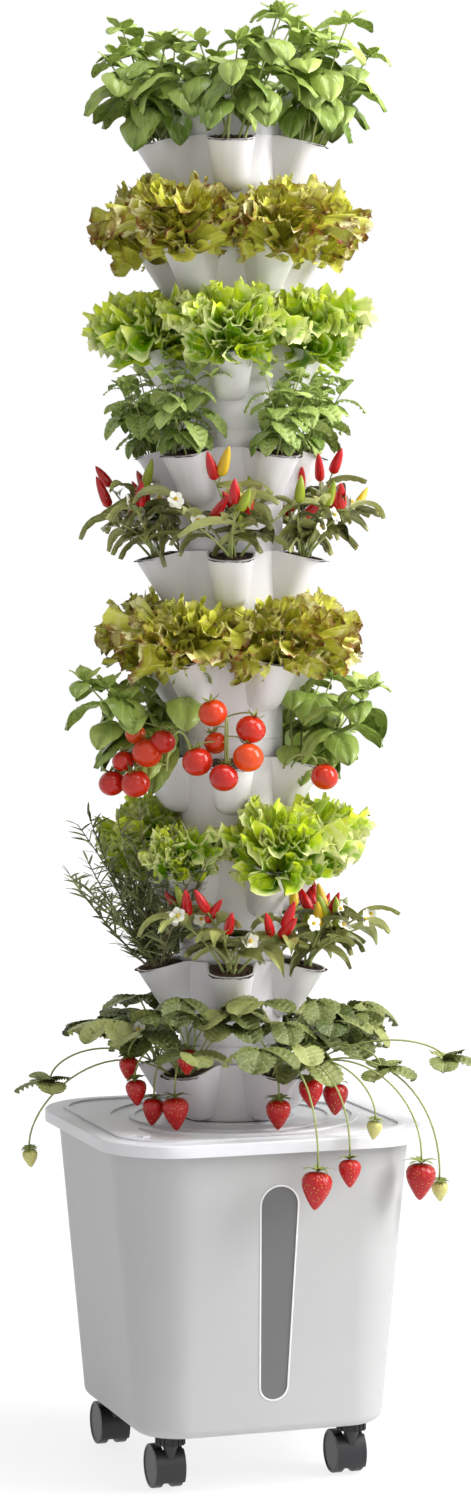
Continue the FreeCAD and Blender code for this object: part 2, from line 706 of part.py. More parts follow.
def tier_form():
    """One moulding: five flared pockets round a column, whose neck carries the next tier.

    Water that runs down inside the column enters each pocket over its growing medium, and what the
    roots leave drains back at the pocket's foot.
    """
    outside = new_body("tier_outside")
    column = new_sketch(outside, "column_profile", XZ)
    outline(column, [("0", "0"), ("sizes.skirt_radius", "0"), ("sizes.skirt_radius", "sizes.skirt_straight"),
                     ("sizes.valley_radius", "sizes.rim_height"), ("0", "sizes.rim_height")])
    turn(outside, column)
    lobe = pocket_loft(outside, "sizes.pocket_foot_height", "sizes.rim_height", "0")
    around(outside, [lobe, mouth_cut(outside)], POCKETS)

    over = "(sizes.rim_height + 4)"
    flare = "((sizes.valley_radius - sizes.skirt_radius) / (sizes.rim_height - sizes.skirt_straight))"
    cavity = new_body("tier_cavity")
    trough = new_sketch(cavity, "trough_profile", XZ)
    inner = "(sizes.skirt_radius - 1)"
    low = f"(sizes.skirt_straight + (sizes.tier_wall - 1) / {flare})"
    outline(trough, [(inner, low),
                     (f"sizes.valley_radius - sizes.tier_wall + 4 * {flare}", over), (inner, over)])
    turn(cavity, trough)
    hollow = pocket_loft(cavity, "sizes.pocket_foot_height + sizes.tier_wall", over, "sizes.tier_wall")
    around(cavity, [hollow], POCKETS)

    middle = primitive("Cylinder", "tier_middle", Radius="sizes.skirt_radius - 1",
                       Height="sizes.rim_height + 10")
    stand(middle, "-5")
    shell = combine("Cut", "tier_shell", combine("Cut", "tier_bowl", outside, cavity), middle)

    tube = new_body("tier_tube")
    profile = new_sketch(tube, "tube_profile", XZ)
    bore = "(sizes.skirt_radius - sizes.tier_wall)"
    throat = f"({SPIGOT_RADIUS} - sizes.tier_wall)"
    outline(profile, [(bore, "0"), ("sizes.skirt_radius", "0"), ("sizes.skirt_radius", LEDGE),
                      (SPIGOT_RADIUS, LEDGE), (SPIGOT_RADIUS, SPIGOT_TOP), (throat, SPIGOT_TOP),
                      (throat, f"{LEDGE} - 6"), (bore, f"{LEDGE} - 10")])
    turn(tube, profile)
    drip = column_slot(tube, "drip_slot", "sizes.drip_slot_width",
                       f"{SOIL_TOP} + sizes.drip_slot_above_soil", "sizes.drip_slot_rise")
    drain = column_slot(tube, "drain_slot", "sizes.drain_slot_width",
                        "sizes.pocket_foot_height + sizes.tier_wall", "sizes.drain_slot_rise")
    around(tube, [drip, drain], POCKETS)
    return fuse_all("tier_master", [shell, tube])


def soil_form():
    """The growing medium in one pocket, level on top and just clear of the moulding."""
    inset = "(sizes.tier_wall + sizes.fit_gap)"
    body = new_body("soil_master")
    pocket_loft(body, f"sizes.pocket_foot_height + {inset}", SOIL_TOP, inset,
                "sizes.skirt_radius + sizes.fit_gap")
    return body


def tier_heading(number):
    """The compass angle of a tier's first pocket; every second tier is turned by half a pocket."""
    turned = (number % 2) * 180 / POCKETS
    return f"sizes.tower_heading + {turned}"


def place_in_tower(thing, number):
    """Sets a tier's piece at its height and heading."""
    thing.Placement = FreeCAD.Placement(FreeCAD.Vector(), FreeCAD.Rotation(FreeCAD.Vector(0, 0, 1), 1))
    thing.setExpression("Placement.Rotation.Angle", tier_heading(number))
    return stand(thing, f"{TOWER_FOOT} + {number - 1} * sizes.tier_pitch")


def tiers():
    master = tier_form()
    soil_master = soil_form()
    ring = []
    for i in range(POCKETS):
        plug = group(f"soil_plug_{i}", [soil_master])
        turned = FreeCAD.Rotation(FreeCAD.Vector(0, 0, 1), i * 360 / POCKETS)
        plug.Placement = FreeCAD.Placement(FreeCAD.Vector(), turned)
        ring.append(plug)
    soil_ring = group("soil_ring", ring)
    for number in range(1, TIERS + 1):
        tier = group(f"tier_{number}", [master])
        node(place_in_tower(tier, number), f"planter_tier_{number:02d}")
        soil = group(f"soil_{number}", [soil_ring])
        node(place_in_tower(soil, number), f"growing_medium_{number:02d}")


def tower_top():
    body = new_body("spreader_block")
    profile = new_sketch(body, "spreader_profile", XZ)
    throat = f"({SPIGOT_RADIUS} - sizes.tier_wall - sizes.fit_gap)"
    plate = "sizes.spreader_plate"
    sleeve = "sizes.riser_radius + sizes.fit_gap"
    floor = "-sizes.spreader_depth"
    outline(profile, [(SPIGOT_RADIUS, "0"), (SPIGOT_RADIUS, plate), (f"{throat} - {plate}", plate),
                      (f"{throat} - {plate}", f"{floor} + {plate}"),
                      (f"{sleeve} + {plate}", f"{floor} + {plate}"), (f"{sleeve} + {plate}", "-1"),
                      (sleeve, "-1"), (sleeve, floor), (throat, floor), (throat, "0")])
    turn(body, profile)
    hole = new_sketch(body, "spreader_hole_line", lift="0")
    circle(hole, "sizes.spreader_hole", f"{throat} - 8")
    cut = pocket(body, hole, "sizes.spreader_depth + 1")
    around(body, [cut], 2 * POCKETS)
    node(stand(body, f"{TOP_TIER} + {SPIGOT_TOP}"), "water_spreader")

    body = new_body("cap_block")
    profile = new_sketch(body, "cap_profile", XZ)
    rise = "sizes.cap_rise"
    outline(profile, [("0", "0"), ("sizes.skirt_radius", "0"), ("sizes.skirt_radius", "sizes.cap_side", "6"),
                      ("sizes.skirt_radius - sizes.cap_slope_run", rise, "40"), ("0", rise)])
    turn(body, profile)
    hollow = new_sketch(body, "cap_hollow", lift="0")
    circle(hollow, "sizes.skirt_radius - sizes.tier_wall")
    pocket(body, hollow, "sizes.spigot_rise + sizes.spreader_plate + sizes.cap_room", up=True)
    crown = new_sketch(body, "cap_crown", lift="0")
    circle(crown, "sizes.skirt_radius - sizes.cap_slope_run - sizes.cap_wall")
    pocket(body, crown, f"{rise} - sizes.cap_wall", up=True)
    node(stand(body, f"{TOP_TIER} + {LEDGE} + sizes.stack_gap"), "top_cap")


# Casters

def lying_cylinder(name, radius, length, start):
    """A cylinder along X about the axle, which lies behind the stem at wheel height."""
    rod = primitive("Cylinder", name, Radius=radius, Height=length)
    rod.Placement = FreeCAD.Placement(FreeCAD.Vector(), FreeCAD.Rotation(FreeCAD.Vector(0, 1, 0), 90))
    return stand(rod, "sizes.wheel_radius", start, "sizes.caster_trail")


def hood_form():
    """The fender and web of a caster with its swivel stem, open over the wheels' rear half."""
    width = "2 * sizes.hood_half_width"
    drum = lying_cylinder("hood_drum", "sizes.hood_radius", width, "-sizes.hood_half_width")
    boss = primitive("Cone", "hood_boss", Radius1="1.5", Radius2="sizes.boss_radius",
                     Height="sizes.boss_top - sizes.boss_tip")
    stand(boss, "sizes.boss_tip")
    stem = primitive("Cylinder", "hood_stem", Radius="sizes.stem_radius",
                     Height="sizes.tank_clearance - sizes.stem_top_gap - sizes.boss_top + 1")
    stand(stem, "sizes.boss_top - 1")
    solid = fuse_all("hood_solid", [drum, boss, stem])
    bay = "sizes.hood_half_width - sizes.web_half + 1"
    bays = fuse_all("wheel_bays", [
        lying_cylinder("left_bay", "sizes.hood_inner", bay, "-sizes.hood_half_width - 1"),
        lying_cylinder("right_bay", "sizes.hood_inner", bay, "sizes.web_half")])
    open_hood = combine("Cut", "open_hood", solid, bays)
    bore = lying_cylinder("axle_bore", "sizes.axle_radius + sizes.running_gap", width,
                          "-sizes.hood_half_width")
    bored = combine("Cut", "bored_hood", open_hood, bore)
    below = primitive("Box", "hood_below", Length="80", Width="80", Height="sizes.hood_ground_gap + 10")
    stand(below, "-10", "-40", "sizes.caster_trail - 40")
    behind = primitive("Box", "hood_behind", Length="80", Width="60", Height="80")
    behind.Placement = FreeCAD.Placement(FreeCAD.Vector(), FreeCAD.Rotation(FreeCAD.Vector(1, 0, 0), 28))
    stand(behind, "-10", "-40", "sizes.caster_trail + sizes.wheel_radius / 2")
    return combine("Cut", "hood_master", bored, fuse_all("hood_trim", [below, behind]))


def wheel_form():
    """A wheel with a blind bore on its inner side and a flat dished disc outside."""
    body = new_body("wheel_master")
    profile = new_sketch(body, "wheel_profile", XZ)
    rim = "sizes.wheel_radius"
    wide = "sizes.wheel_width"
    bore = "sizes.axle_radius + sizes.running_gap"
    outline(profile, [(bore, "0"), (rim, "0", "1.5"), (rim, wide, "1.5"), (f"{rim} - 3", wide, "0.5"),
                      (f"{rim} - 4", f"{wide} - sizes.wheel_dish"), ("0", f"{wide} - sizes.wheel_dish"),
                      ("0", f"{wide} - sizes.wheel_dish - 2"), (bore, f"{wide} - sizes.wheel_dish - 2")])
    turn(body, profile)
    return body


def casters():
    hood_master = hood_form()
    wheel_master = wheel_form()
    axle_reach = "(sizes.web_half + sizes.web_gap + sizes.wheel_width - sizes.wheel_dish - 2.5)"
    axle_master = lying_cylinder("axle_master", "sizes.axle_radius", f"2 * {axle_reach}", f"-{axle_reach}")
    collars = []
    for corner, across, deep in (("front_left", -1, -1), ("front_right", 1, -1),
                                 ("rear_right", 1, 1), ("rear_left", -1, 1)):
        x = f"{across} * sizes.caster_spread"
        y = f"{deep} * sizes.caster_spread"
        node(stand(group(f"{corner}_hood", [hood_master]), "0", x, y), f"caster_hood_{corner}")
        node(stand(group(f"{corner}_axle", [axle_master]), "0", x, y), f"caster_axle_{corner}")
        for side, lean in (("left", -1), ("right", 1)):
            wheel = group(f"{corner}_{side}_wheel", [wheel_master])
            wheel.Placement = FreeCAD.Placement(
                FreeCAD.Vector(), FreeCAD.Rotation(FreeCAD.Vector(0, 1, 0), lean * 90))
            stand(wheel, "sizes.wheel_radius", f"{x} + {lean} * (sizes.web_half + sizes.web_gap)",
                  f"{y} + sizes.caster_trail")
            node(wheel, f"caster_wheel_{corner}_{side}")
        collars.append(stand(group(f"{corner}_collar", [collar_form(corner)]), "0", x, y))
    node(group("collars", collars), "caster_sockets")


def collar_form(corner):
    """The ribbed socket under the reservoir that a caster's stem turns in."""
    body = new_body(f"{corner}_socket")
    ring = new_sketch(body, f"{corner}_socket_ring", lift="sizes.tank_clearance - sizes.collar_height")
    circle(ring, "sizes.collar_radius - sizes.collar_rib")
    pad(body, ring, "sizes.collar_height")
    rib = new_sketch(body, f"{corner}_socket_rib", lift="sizes.tank_clearance - sizes.collar_height")
    outline(rib, [("sizes.collar_radius - sizes.collar_rib - 1", "-sizes.collar_rib"),
                  ("sizes.collar_radius", "-sizes.collar_rib"),
                  ("sizes.collar_radius", "sizes.collar_rib"),
                  ("sizes.collar_radius - sizes.collar_rib - 1", "sizes.collar_rib")])
    around(body, [pad(body, rib, "sizes.collar_height")], RIBS)
    bore = new_sketch(body, f"{corner}_socket_bore", lift="sizes.tank_clearance - sizes.stem_top_gap + 1")
    circle(bore, "sizes.stem_radius + sizes.running_gap")
    pocket(body, bore, "sizes.collar_height + 2")
    return body


# Plants: plain closed solids of the true outer shape, each one convex

# What hangs from a strawberry pocket, in order round it: degrees from the pocket's heading,
# distance from the axis, heights over the rim where the stem ends and where it peaks, and kind
HANGING = {
    4: [(-41, 211, -22, -8, "leaf"), (-38, 238, -95, -58, "berry"), (-7, 157, -9, 7, "berry"),
        (-1, 147, -32, 7, "berry"), (10, 143, -28, 7, "berry")],
    0: [(-13, 136, -34, 7, "berry"), (-10, 218, -99, -12, "berry"), (0, 223, -88, -12, "berry"),
        (5, 140, -10, 7, "berry"), (8, 230, -47, -20, "berry"), (17, 148, -17, 7, "berry"),
        (24, 246, -102, -34, "berry"), (31, 184, -4, 4, "leaf"), (33, 252, -128, -30, "berry"),
        (42, 248, 4, 7, "leaf")],
}
ROOT_STEP = 2
PLANT_SIDES = 8
TOMATO_RINGS = (18, 48, 75, 105, 132, 162)


def prism_stack(place, rings, sides=PLANT_SIDES, turned=0.0):
    """A faceted solid through level rings, each given as (radial half, tangential half, height)."""
    heading, reach, base = place
    centre = FreeCAD.Vector(reach, 0, base)
    wires = []
    for radial, tangential, height in rings:
        points = []
        for i in range(sides):
            angle = 2 * math.pi * (i + 0.5) / sides + turned
            points.append(centre + FreeCAD.Vector(radial * math.cos(angle),
                                                  tangential * math.sin(angle), height))
        wires.append(points)
    faces = [Part.Face(Part.makePolygon(wires[0] + wires[0][:1])),
             Part.Face(Part.makePolygon(wires[-1] + wires[-1][:1]))]
    for lower, upper in zip(wires, wires[1:]):
        for i in range(sides):
            after = (i + 1) % sides
            for corners in ((lower[i], lower[after], upper[after]), (lower[i], upper[after], upper[i])):
                faces.append(Part.Face(Part.makePolygon(list(corners) + [corners[0]])))
    solid = Part.Solid(Part.makeShell(faces))
    solid.fix(1e-6, 1e-6, 1e-6)
    if solid.Volume < 0:
        solid.reverse()
    solid.rotate(FreeCAD.Vector(), FreeCAD.Vector(0, 0, 1), heading)
    return solid


def polar(heading, reach, height):
    """A point of the tier's frame from a heading, a distance from the axis and a height."""
    angle = math.radians(heading)
    return FreeCAD.Vector(reach * math.cos(angle), reach * math.sin(angle), height)


def elbow_trim(before, corner, after):
    """How far each of two runs of stem stops short of the corner that they share."""
    angle = (before - corner).getAngle(after - corner)
    return size("stalk_radius") / math.tan(angle / 2) + size("elbow_gap")


def stalk(start, end, trim_start, trim_end):
    """A straight four-sided run of stem between two points, trimmed at its ends."""
    along = (end - start).normalize()
    start = start + along * trim_start
    end = end - along * trim_end
    side = along.cross(FreeCAD.Vector(0.3, 0.2, 1)).normalize() * size("stalk_radius")
    other = along.cross(side)
    ring = [start + side, start + other, start - side, start - other]
    base = Part.Face(Part.makePolygon(ring + ring[:1]))
    return base.extrude(end - start)


def crown(heading, height):
    """The stem base of a plant, from the soil to its canopy."""
    radius = size("crown_radius")
    soil = value(SOIL_TOP)
    reach = size("skirt_radius") + 2 * radius
    rings = [(radius * 0.7, radius * 0.7, 0), (radius, radius, height)]
    return prism_stack((heading, reach, soil), rings, sides=6)


def canopy(heading, reach_half, height):
    """A lens of foliage over a pocket, kept clear of the column and of the pockets above."""
    inner = size("skirt_radius") + 2
    centre = inner + reach_half
    half = size("canopy_half") * centre / size("canopy_centre")
    base = size("rim_height") + size("canopy_lift")
    profile = ((0.55, 0.0), (0.96, 0.17), (1.0, 0.32), (0.82, 0.6), (0.61, 0.82), (0.33, 1.0))
    rings = [(reach_half * share, half * share, height * rise) for share, rise in profile]
    return prism_stack((heading, centre, base), rings)


def rosette_plants(height, reach_half, headings):
    """A crown and a canopy in each named pocket."""
    gap = size("canopy_lift") + size("soil_below_rim")
    solids = []
    for heading in headings:
        solids.append(crown(heading, gap))
        solids.append(canopy(heading, reach_half, height))
    return solids


def bush(heading, height, spread, low):
    """A tall plant: a crown and an egg of foliage."""
    inner = size("skirt_radius") + 2
    gap = low + size("soil_below_rim")
    base = size("rim_height") + low
    profile = ((0.45, 0.0), (0.85, 0.16), (1.0, 0.42), (0.86, 0.72), (0.45, 1.0))
    rings = [(spread * share, spread * share, (height - low) * rise) for share, rise in profile]
    return [crown(heading, gap), prism_stack((heading, inner + spread, base), rings)]


def pods(heading, base_height):
    """Upright peppers standing on the canopy."""
    solids = []
    radius = size("pod_radius")
    length = size("pod_length")
    for step, reach in ((-6, 110), (0, 124), (7, 108)):
        rings = [(radius * 0.6, radius * 0.6, 0), (radius, radius, length * 0.25),
                 (radius * 0.75, radius * 0.75, length * 0.6), (radius * 0.2, radius * 0.2, length)]
        solids.append(prism_stack((heading + step, reach, base_height), rings, sides=6))
    return solids


def hanging_stem(root_heading, end, peak):
    """Three runs of stem: up from the soil, out over the rim, and straight down to a point."""
    root_reach = size("skirt_radius") + 2 * size("crown_radius") + size("root_setback")
    root_point = polar(root_heading, root_reach, value(SOIL_TOP))
    knee = FreeCAD.Vector(root_point.x, root_point.y, size("rim_height") + size("knee_rise"))
    top = FreeCAD.Vector(end.x, end.y, peak)
    first = elbow_trim(root_point, knee, top)
    second = elbow_trim(knee, top, end)
    return [stalk(root_point, knee, 0, first), stalk(knee, top, first, second),
            stalk(top, end, second, 0)]


def tomato(centre, facing):
    """A faceted ball with one of its upright facets square to a direction."""
    radius = size("tomato_radius")
    rings = []
    for degrees in TOMATO_RINGS:
        across = radius * math.sin(math.radians(degrees))
        rings.append((across, across, -radius * math.cos(math.radians(degrees))))
    solid = prism_stack((0, 0, 0), rings, turned=facing)
    solid.translate(centre)
    return solid


def truss(pocket_heading, turned, reach, peak, count):
    """Cherry tomatoes in pairs down a hanging stem, each pair turned against the last."""
    radius = size("tomato_radius")
    widest = max(math.sin(math.radians(degrees)) for degrees in TOMATO_RINGS)
    flat_reach = radius * widest * math.cos(math.pi / PLANT_SIDES)
    away = flat_reach + size("stalk_radius") + size("elbow_gap")
    spacing = 2 * radius + 1
    rim = size("rim_height")
    levels = (count + 1) // 2
    end = polar(pocket_heading + turned, reach, rim + peak - levels * spacing)
    solids = hanging_stem(pocket_heading + turned / 4, end, rim + peak)
    for i in range(count):
        level, side = divmod(i, 2)
        angle = math.radians(pocket_heading + turned - 90 + 180 * side + 25 * level)
        drop = radius + 2 + level * spacing
        centre = FreeCAD.Vector(end.x + away * math.cos(angle),
                                end.y + away * math.sin(angle), rim + peak - drop)
        solids.append(tomato(centre, angle))
    return solids


def berry(top):
    """A strawberry hanging point down from the end of its stem."""
    length = size("berry_length")
    radius = size("berry_radius")
    rings = [(radius * 0.2, radius * 0.2, -length), (radius * 0.75, radius * 0.75, -length * 0.62),
             (radius, radius, -length * 0.32), (radius * 0.8, radius * 0.8, -length * 0.08),
             (radius * 0.3, radius * 0.3, 0)]
    solid = prism_stack((0, 0, 0), rings)
    solid.translate(top - FreeCAD.Vector(0, 0, 0.3))
    return solid


def leaf_pad(top):
    """A trefoil at the end of a runner, as a flat lens under the runner's tip."""
    radius = size("trefoil_radius")
    rings = [(radius * 0.5, radius * 0.5, -9), (radius, radius, -5), (radius * 0.6, radius * 0.6, 0)]
    solid = prism_stack((0, 0, 0), rings)
    solid.translate(top - FreeCAD.Vector(0, 0, 0.3))
    return solid


def strawberry_plants():
    """Five rosettes, with fruit and runners that hang from the two front pockets."""
    headings = pocket_headings()
    rim = size("rim_height")
    solids = rosette_plants(size("strawberry_height"), size("canopy_reach"), headings)
    for which, ends in HANGING.items():
        for i, (turned, reach, height, peak, kind) in enumerate(ends):
            root_turn = (i - (len(ends) - 1) / 2) * ROOT_STEP
            end = polar(headings[which] + turned, reach, rim + height)
            solids += hanging_stem(headings[which] + root_turn, end, rim + peak)
            solids.append(berry(end) if kind == "berry" else leaf_pad(end))
    return solids


def pocket_headings():
    return [i * 360 / POCKETS for i in range(POCKETS)]


def plants():
    """The plants of each tier, from the strawberries at the foot to the basil on top."""
    lens = size("canopy_reach")
    height = size("canopy_height")
    all_five = pocket_headings()
    right, left = all_five[1], all_five[4]
    right_rear, left_rear = all_five[2], all_five[3]
    chili_top = size("rim_height") + size("canopy_lift") + size("chili_height") + 0.3

    mixed = rosette_plants(size("chili_height"), size("chili_reach"), [0, right, right_rear])
    mixed += pods(0, chili_top) + pods(right, chili_top)
    mixed += bush(left, size("rosemary_height"), 40, 8) + bush(left_rear, size("rosemary_height"), 36, 8)

    tomatoes = rosette_plants(height, lens, [right, right_rear, left_rear])
    tomatoes += truss(0, -3, 138, 60, 6) + truss(left, 20, 138, 38, 4) + truss(right, -19, 136, 6, 1)

    peppers = rosette_plants(size("chili_height"), size("chili_reach"), all_five)
    for heading in all_five:
        peppers += pods(heading, chili_top)

    basil = []
    for heading in all_five:
        basil += bush(heading, size("basil_height"), 48, 30)

    growth = {
        1: ("strawberry_plants", strawberry_plants()),
        2: ("rosemary_and_chili_plants", mixed),
        3: ("green_lettuce_lower", rosette_plants(height, lens, all_five)),
        4: ("tomato_and_basil_plants", tomatoes),
        5: ("red_lettuce_lower", rosette_plants(height, lens, all_five)),
        6: ("chili_plants", peppers),
        7: ("mint_plants", rosette_plants(height, lens, all_five)),
        8: ("green_lettuce_upper", rosette_plants(height, lens, all_five)),
        9: ("red_lettuce_upper", rosette_plants(height, lens, all_five)),
        10: ("basil_plants", basil),
    }
    for number, (name, solids) in growth.items():
        foliage = doc.addObject("Part::Feature", f"plants_{number}")
        foliage.Shape = Part.makeCompound(solids)
        node(place_in_tower(foliage, number), name)


def check_and_write():
    """Stops on a failed object or a bad shape, and otherwise writes one file for each sub-part."""
    doc.recompute()
    for thing in doc.Objects:
        if "Invalid" in thing.State or "Error" in thing.State:
            raise RuntimeError(f"{thing.Label} failed: {thing.State}")
    for name, thing in nodes.items():
        if thing.Shape.isNull() or not thing.Shape.isValid() or not thing.Shape.Solids:
            raise RuntimeError(f"{name} has no valid solid")
    os.makedirs("parts", exist_ok=True)
    for name, thing in nodes.items():
        thing.Shape.exportStep(f"parts/{name}.step")
    print(len(nodes), "sub-parts written")


reservoir()
level_window()
pump()
riser()
lid()
hatch()
lid_fittings()
tiers()
tower_top()
casters()
plants()
check_and_write()
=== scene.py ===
import math

import bpy
import numpy as np
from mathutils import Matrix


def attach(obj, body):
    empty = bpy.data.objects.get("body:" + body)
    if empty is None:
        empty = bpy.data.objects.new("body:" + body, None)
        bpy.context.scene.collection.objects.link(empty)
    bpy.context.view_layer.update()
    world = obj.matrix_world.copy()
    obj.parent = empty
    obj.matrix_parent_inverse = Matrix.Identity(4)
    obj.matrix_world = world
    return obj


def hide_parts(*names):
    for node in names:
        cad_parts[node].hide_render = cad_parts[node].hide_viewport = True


# A ten-tier planter tower in full leaf on its wheeled reservoir.
# Lengths are in metres, and a size given in millimetres is multiplied by MM. In tables the climb,
# fall, bow, lean, rise and sag of a stem or leaf are in degrees. Turns, twists and rolls, and the
# rise and curl of petals and calyxes, are in radians. A pair in a table is the range of a random
# draw, unless its comment says otherwise.
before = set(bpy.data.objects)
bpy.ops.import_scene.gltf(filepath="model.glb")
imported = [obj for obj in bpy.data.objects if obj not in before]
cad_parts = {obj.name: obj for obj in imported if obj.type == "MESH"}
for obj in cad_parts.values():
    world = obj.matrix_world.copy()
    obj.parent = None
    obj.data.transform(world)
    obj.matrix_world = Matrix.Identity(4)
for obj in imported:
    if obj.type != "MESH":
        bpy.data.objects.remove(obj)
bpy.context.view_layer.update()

MM = 0.001
FULL_TURN = 2 * math.pi
UP = np.array([0.0, 0.0, 1.0])

# The tower: the floor height of its lowest tier, the step from tier to tier, and the compass angle
# of an even tier's first pocket, which faces the camera
TOWER_FOOT = 374 * MM
TIER_PITCH = 116.5 * MM
FIRST_HEADING = math.radians(-108.5)
TIERS = range(1, 11)
POCKETS = 5

# Over a tier's foot: its pockets' rim, and the growing medium in them
RIM = 96 * MM
SOIL = 83 * MM
# From the tower's axis: a pocket's middle, and the column's wall. Leaves keep a gap to the wall.
POCKET_REACH = 88 * MM
COLUMN_RADIUS = 59 * MM
LEAF_GAP = 4 * MM
# Half the medium's size in a pocket, away from the column and along it
MEDIUM_HALF_OUT = 15 * MM
MEDIUM_HALF_ASIDE = 17 * MM

PLANT_NODES = {
    1: "strawberry_plants", 2: "rosemary_and_chili_plants", 3: "green_lettuce_lower",
    4: "tomato_and_basil_plants", 5: "red_lettuce_lower", 6: "chili_plants", 7: "mint_plants",
    8: "green_lettuce_upper", 9: "red_lettuce_upper", 10: "basil_plants",
}


# Colours and nodes

def linear(code):
    """An sRGB hex colour as the linear colour that a socket takes."""
    shares = [int(code[i:i + 2], 16) / 255 for i in (1, 3, 5)]
    bent = [s / 12.92 if s <= 0.04045 else ((s + 0.055) / 1.055) ** 2.4 for s in shares]
    return (*bent, 1.0)


def feed(tree, node, inputs):
    """Feeds a node's sockets from values, from sockets, or from the first output of a node."""
    for socket, source in dict(inputs).items():
        if isinstance(source, bpy.types.Node):
            source = source.outputs[0]
        if isinstance(source, bpy.types.NodeSocket):
            tree.links.new(source, node.inputs[socket])
        else:
            node.inputs[socket].default_value = source


def add(tree, kind, inputs=(), stops=(), **settings):
    """Adds a node, sets what it has, feeds its sockets, and gives a ramp its stops."""
    made = tree.nodes.new(kind)
    for name, setting in settings.items():
        setattr(made, name, setting)
    feed(tree, made, inputs)
    if stops:
        ramp = made.color_ramp
        while len(ramp.elements) < len(stops):
            ramp.elements.new(0.5)
        for element, (place, colour) in zip(ramp.elements, stops):
            element.position = place
            element.color = linear(colour)
    return made


def new_material(name, **surface_settings):
    """A material with one Principled shader, and that shader's tree."""
    material = bpy.data.materials.new(name)
    material.use_nodes = True
    tree = material.node_tree
    shader = next(n for n in tree.nodes if n.type == "BSDF_PRINCIPLED")
    for socket, setting in surface_settings.items():
        shader.inputs[socket.replace("_", " ")].default_value = setting
    return material, tree, shader


# Plastic varies a little in colour over a hand's breadth, and its grain is this deep
BATCH_CLOUD = 250 * MM
GRAIN_DEPTH = 0.2 * MM


def moulded_plastic(name, colour, shade, roughness, grain_mm, bump):
    """Injection-moulded plastic: near flat in colour, with a fine spark-eroded grain in its gloss.

    The real grain is about 0.1 mm and too fine to show, so it is drawn at grain_mm.
    """
    material, tree, shader = new_material(name, Roughness=roughness, IOR=1.49)
    where = add(tree, "ShaderNodeTexCoord").outputs["Object"]
    cloud = add(tree, "ShaderNodeTexNoise",
                {"Vector": where, "Scale": 1 / BATCH_CLOUD, "Detail": 2.0})
    tint = add(tree, "ShaderNodeValToRGB", {"Fac": cloud}, stops=((0.3, shade), (0.7, colour)))
    grain = add(tree, "ShaderNodeTexNoise",
                {"Vector": where, "Scale": 1 / (grain_mm * MM), "Detail": 1.0})
    rough = add(tree, "ShaderNodeBump",
                {"Height": grain, "Strength": bump, "Distance": GRAIN_DEPTH})
    feed(tree, shader, {"Base Color": tint, "Normal": rough})
    return material


# A leaf's markings. Blotches are 22 mm across, so 45 to the metre, and shift its tone by half
# their strength. Side veins run forward by VEIN_SLANT of the leaf's length on their way to the
# margin, and are as wide as VEIN_WIDTH of their spacing. The midrib fades between two shares of
# the half width. The margin's colour reaches further in on an old leaf, is full at RIM_END, and
# turns to flecks between two strengths of the blotches: pale flecks that are partly painted
# highlights on the frills.
BLOTCHES_PER_METRE = 45.0
BLOTCH_SHIFT = 0.5
VEIN_SLANT = 0.45
VEIN_WIDTH = 0.2
MIDRIB_FADE = (0.03, 0.11)
VEIN_RELIEF = 0.6 * MM
AGE_REACH = 0.12
RIM_END = 1.1
FLECK_AND_HIGHLIGHT_FADE = (0.52, 0.58)
BLISTER_HEIGHT = 0.3


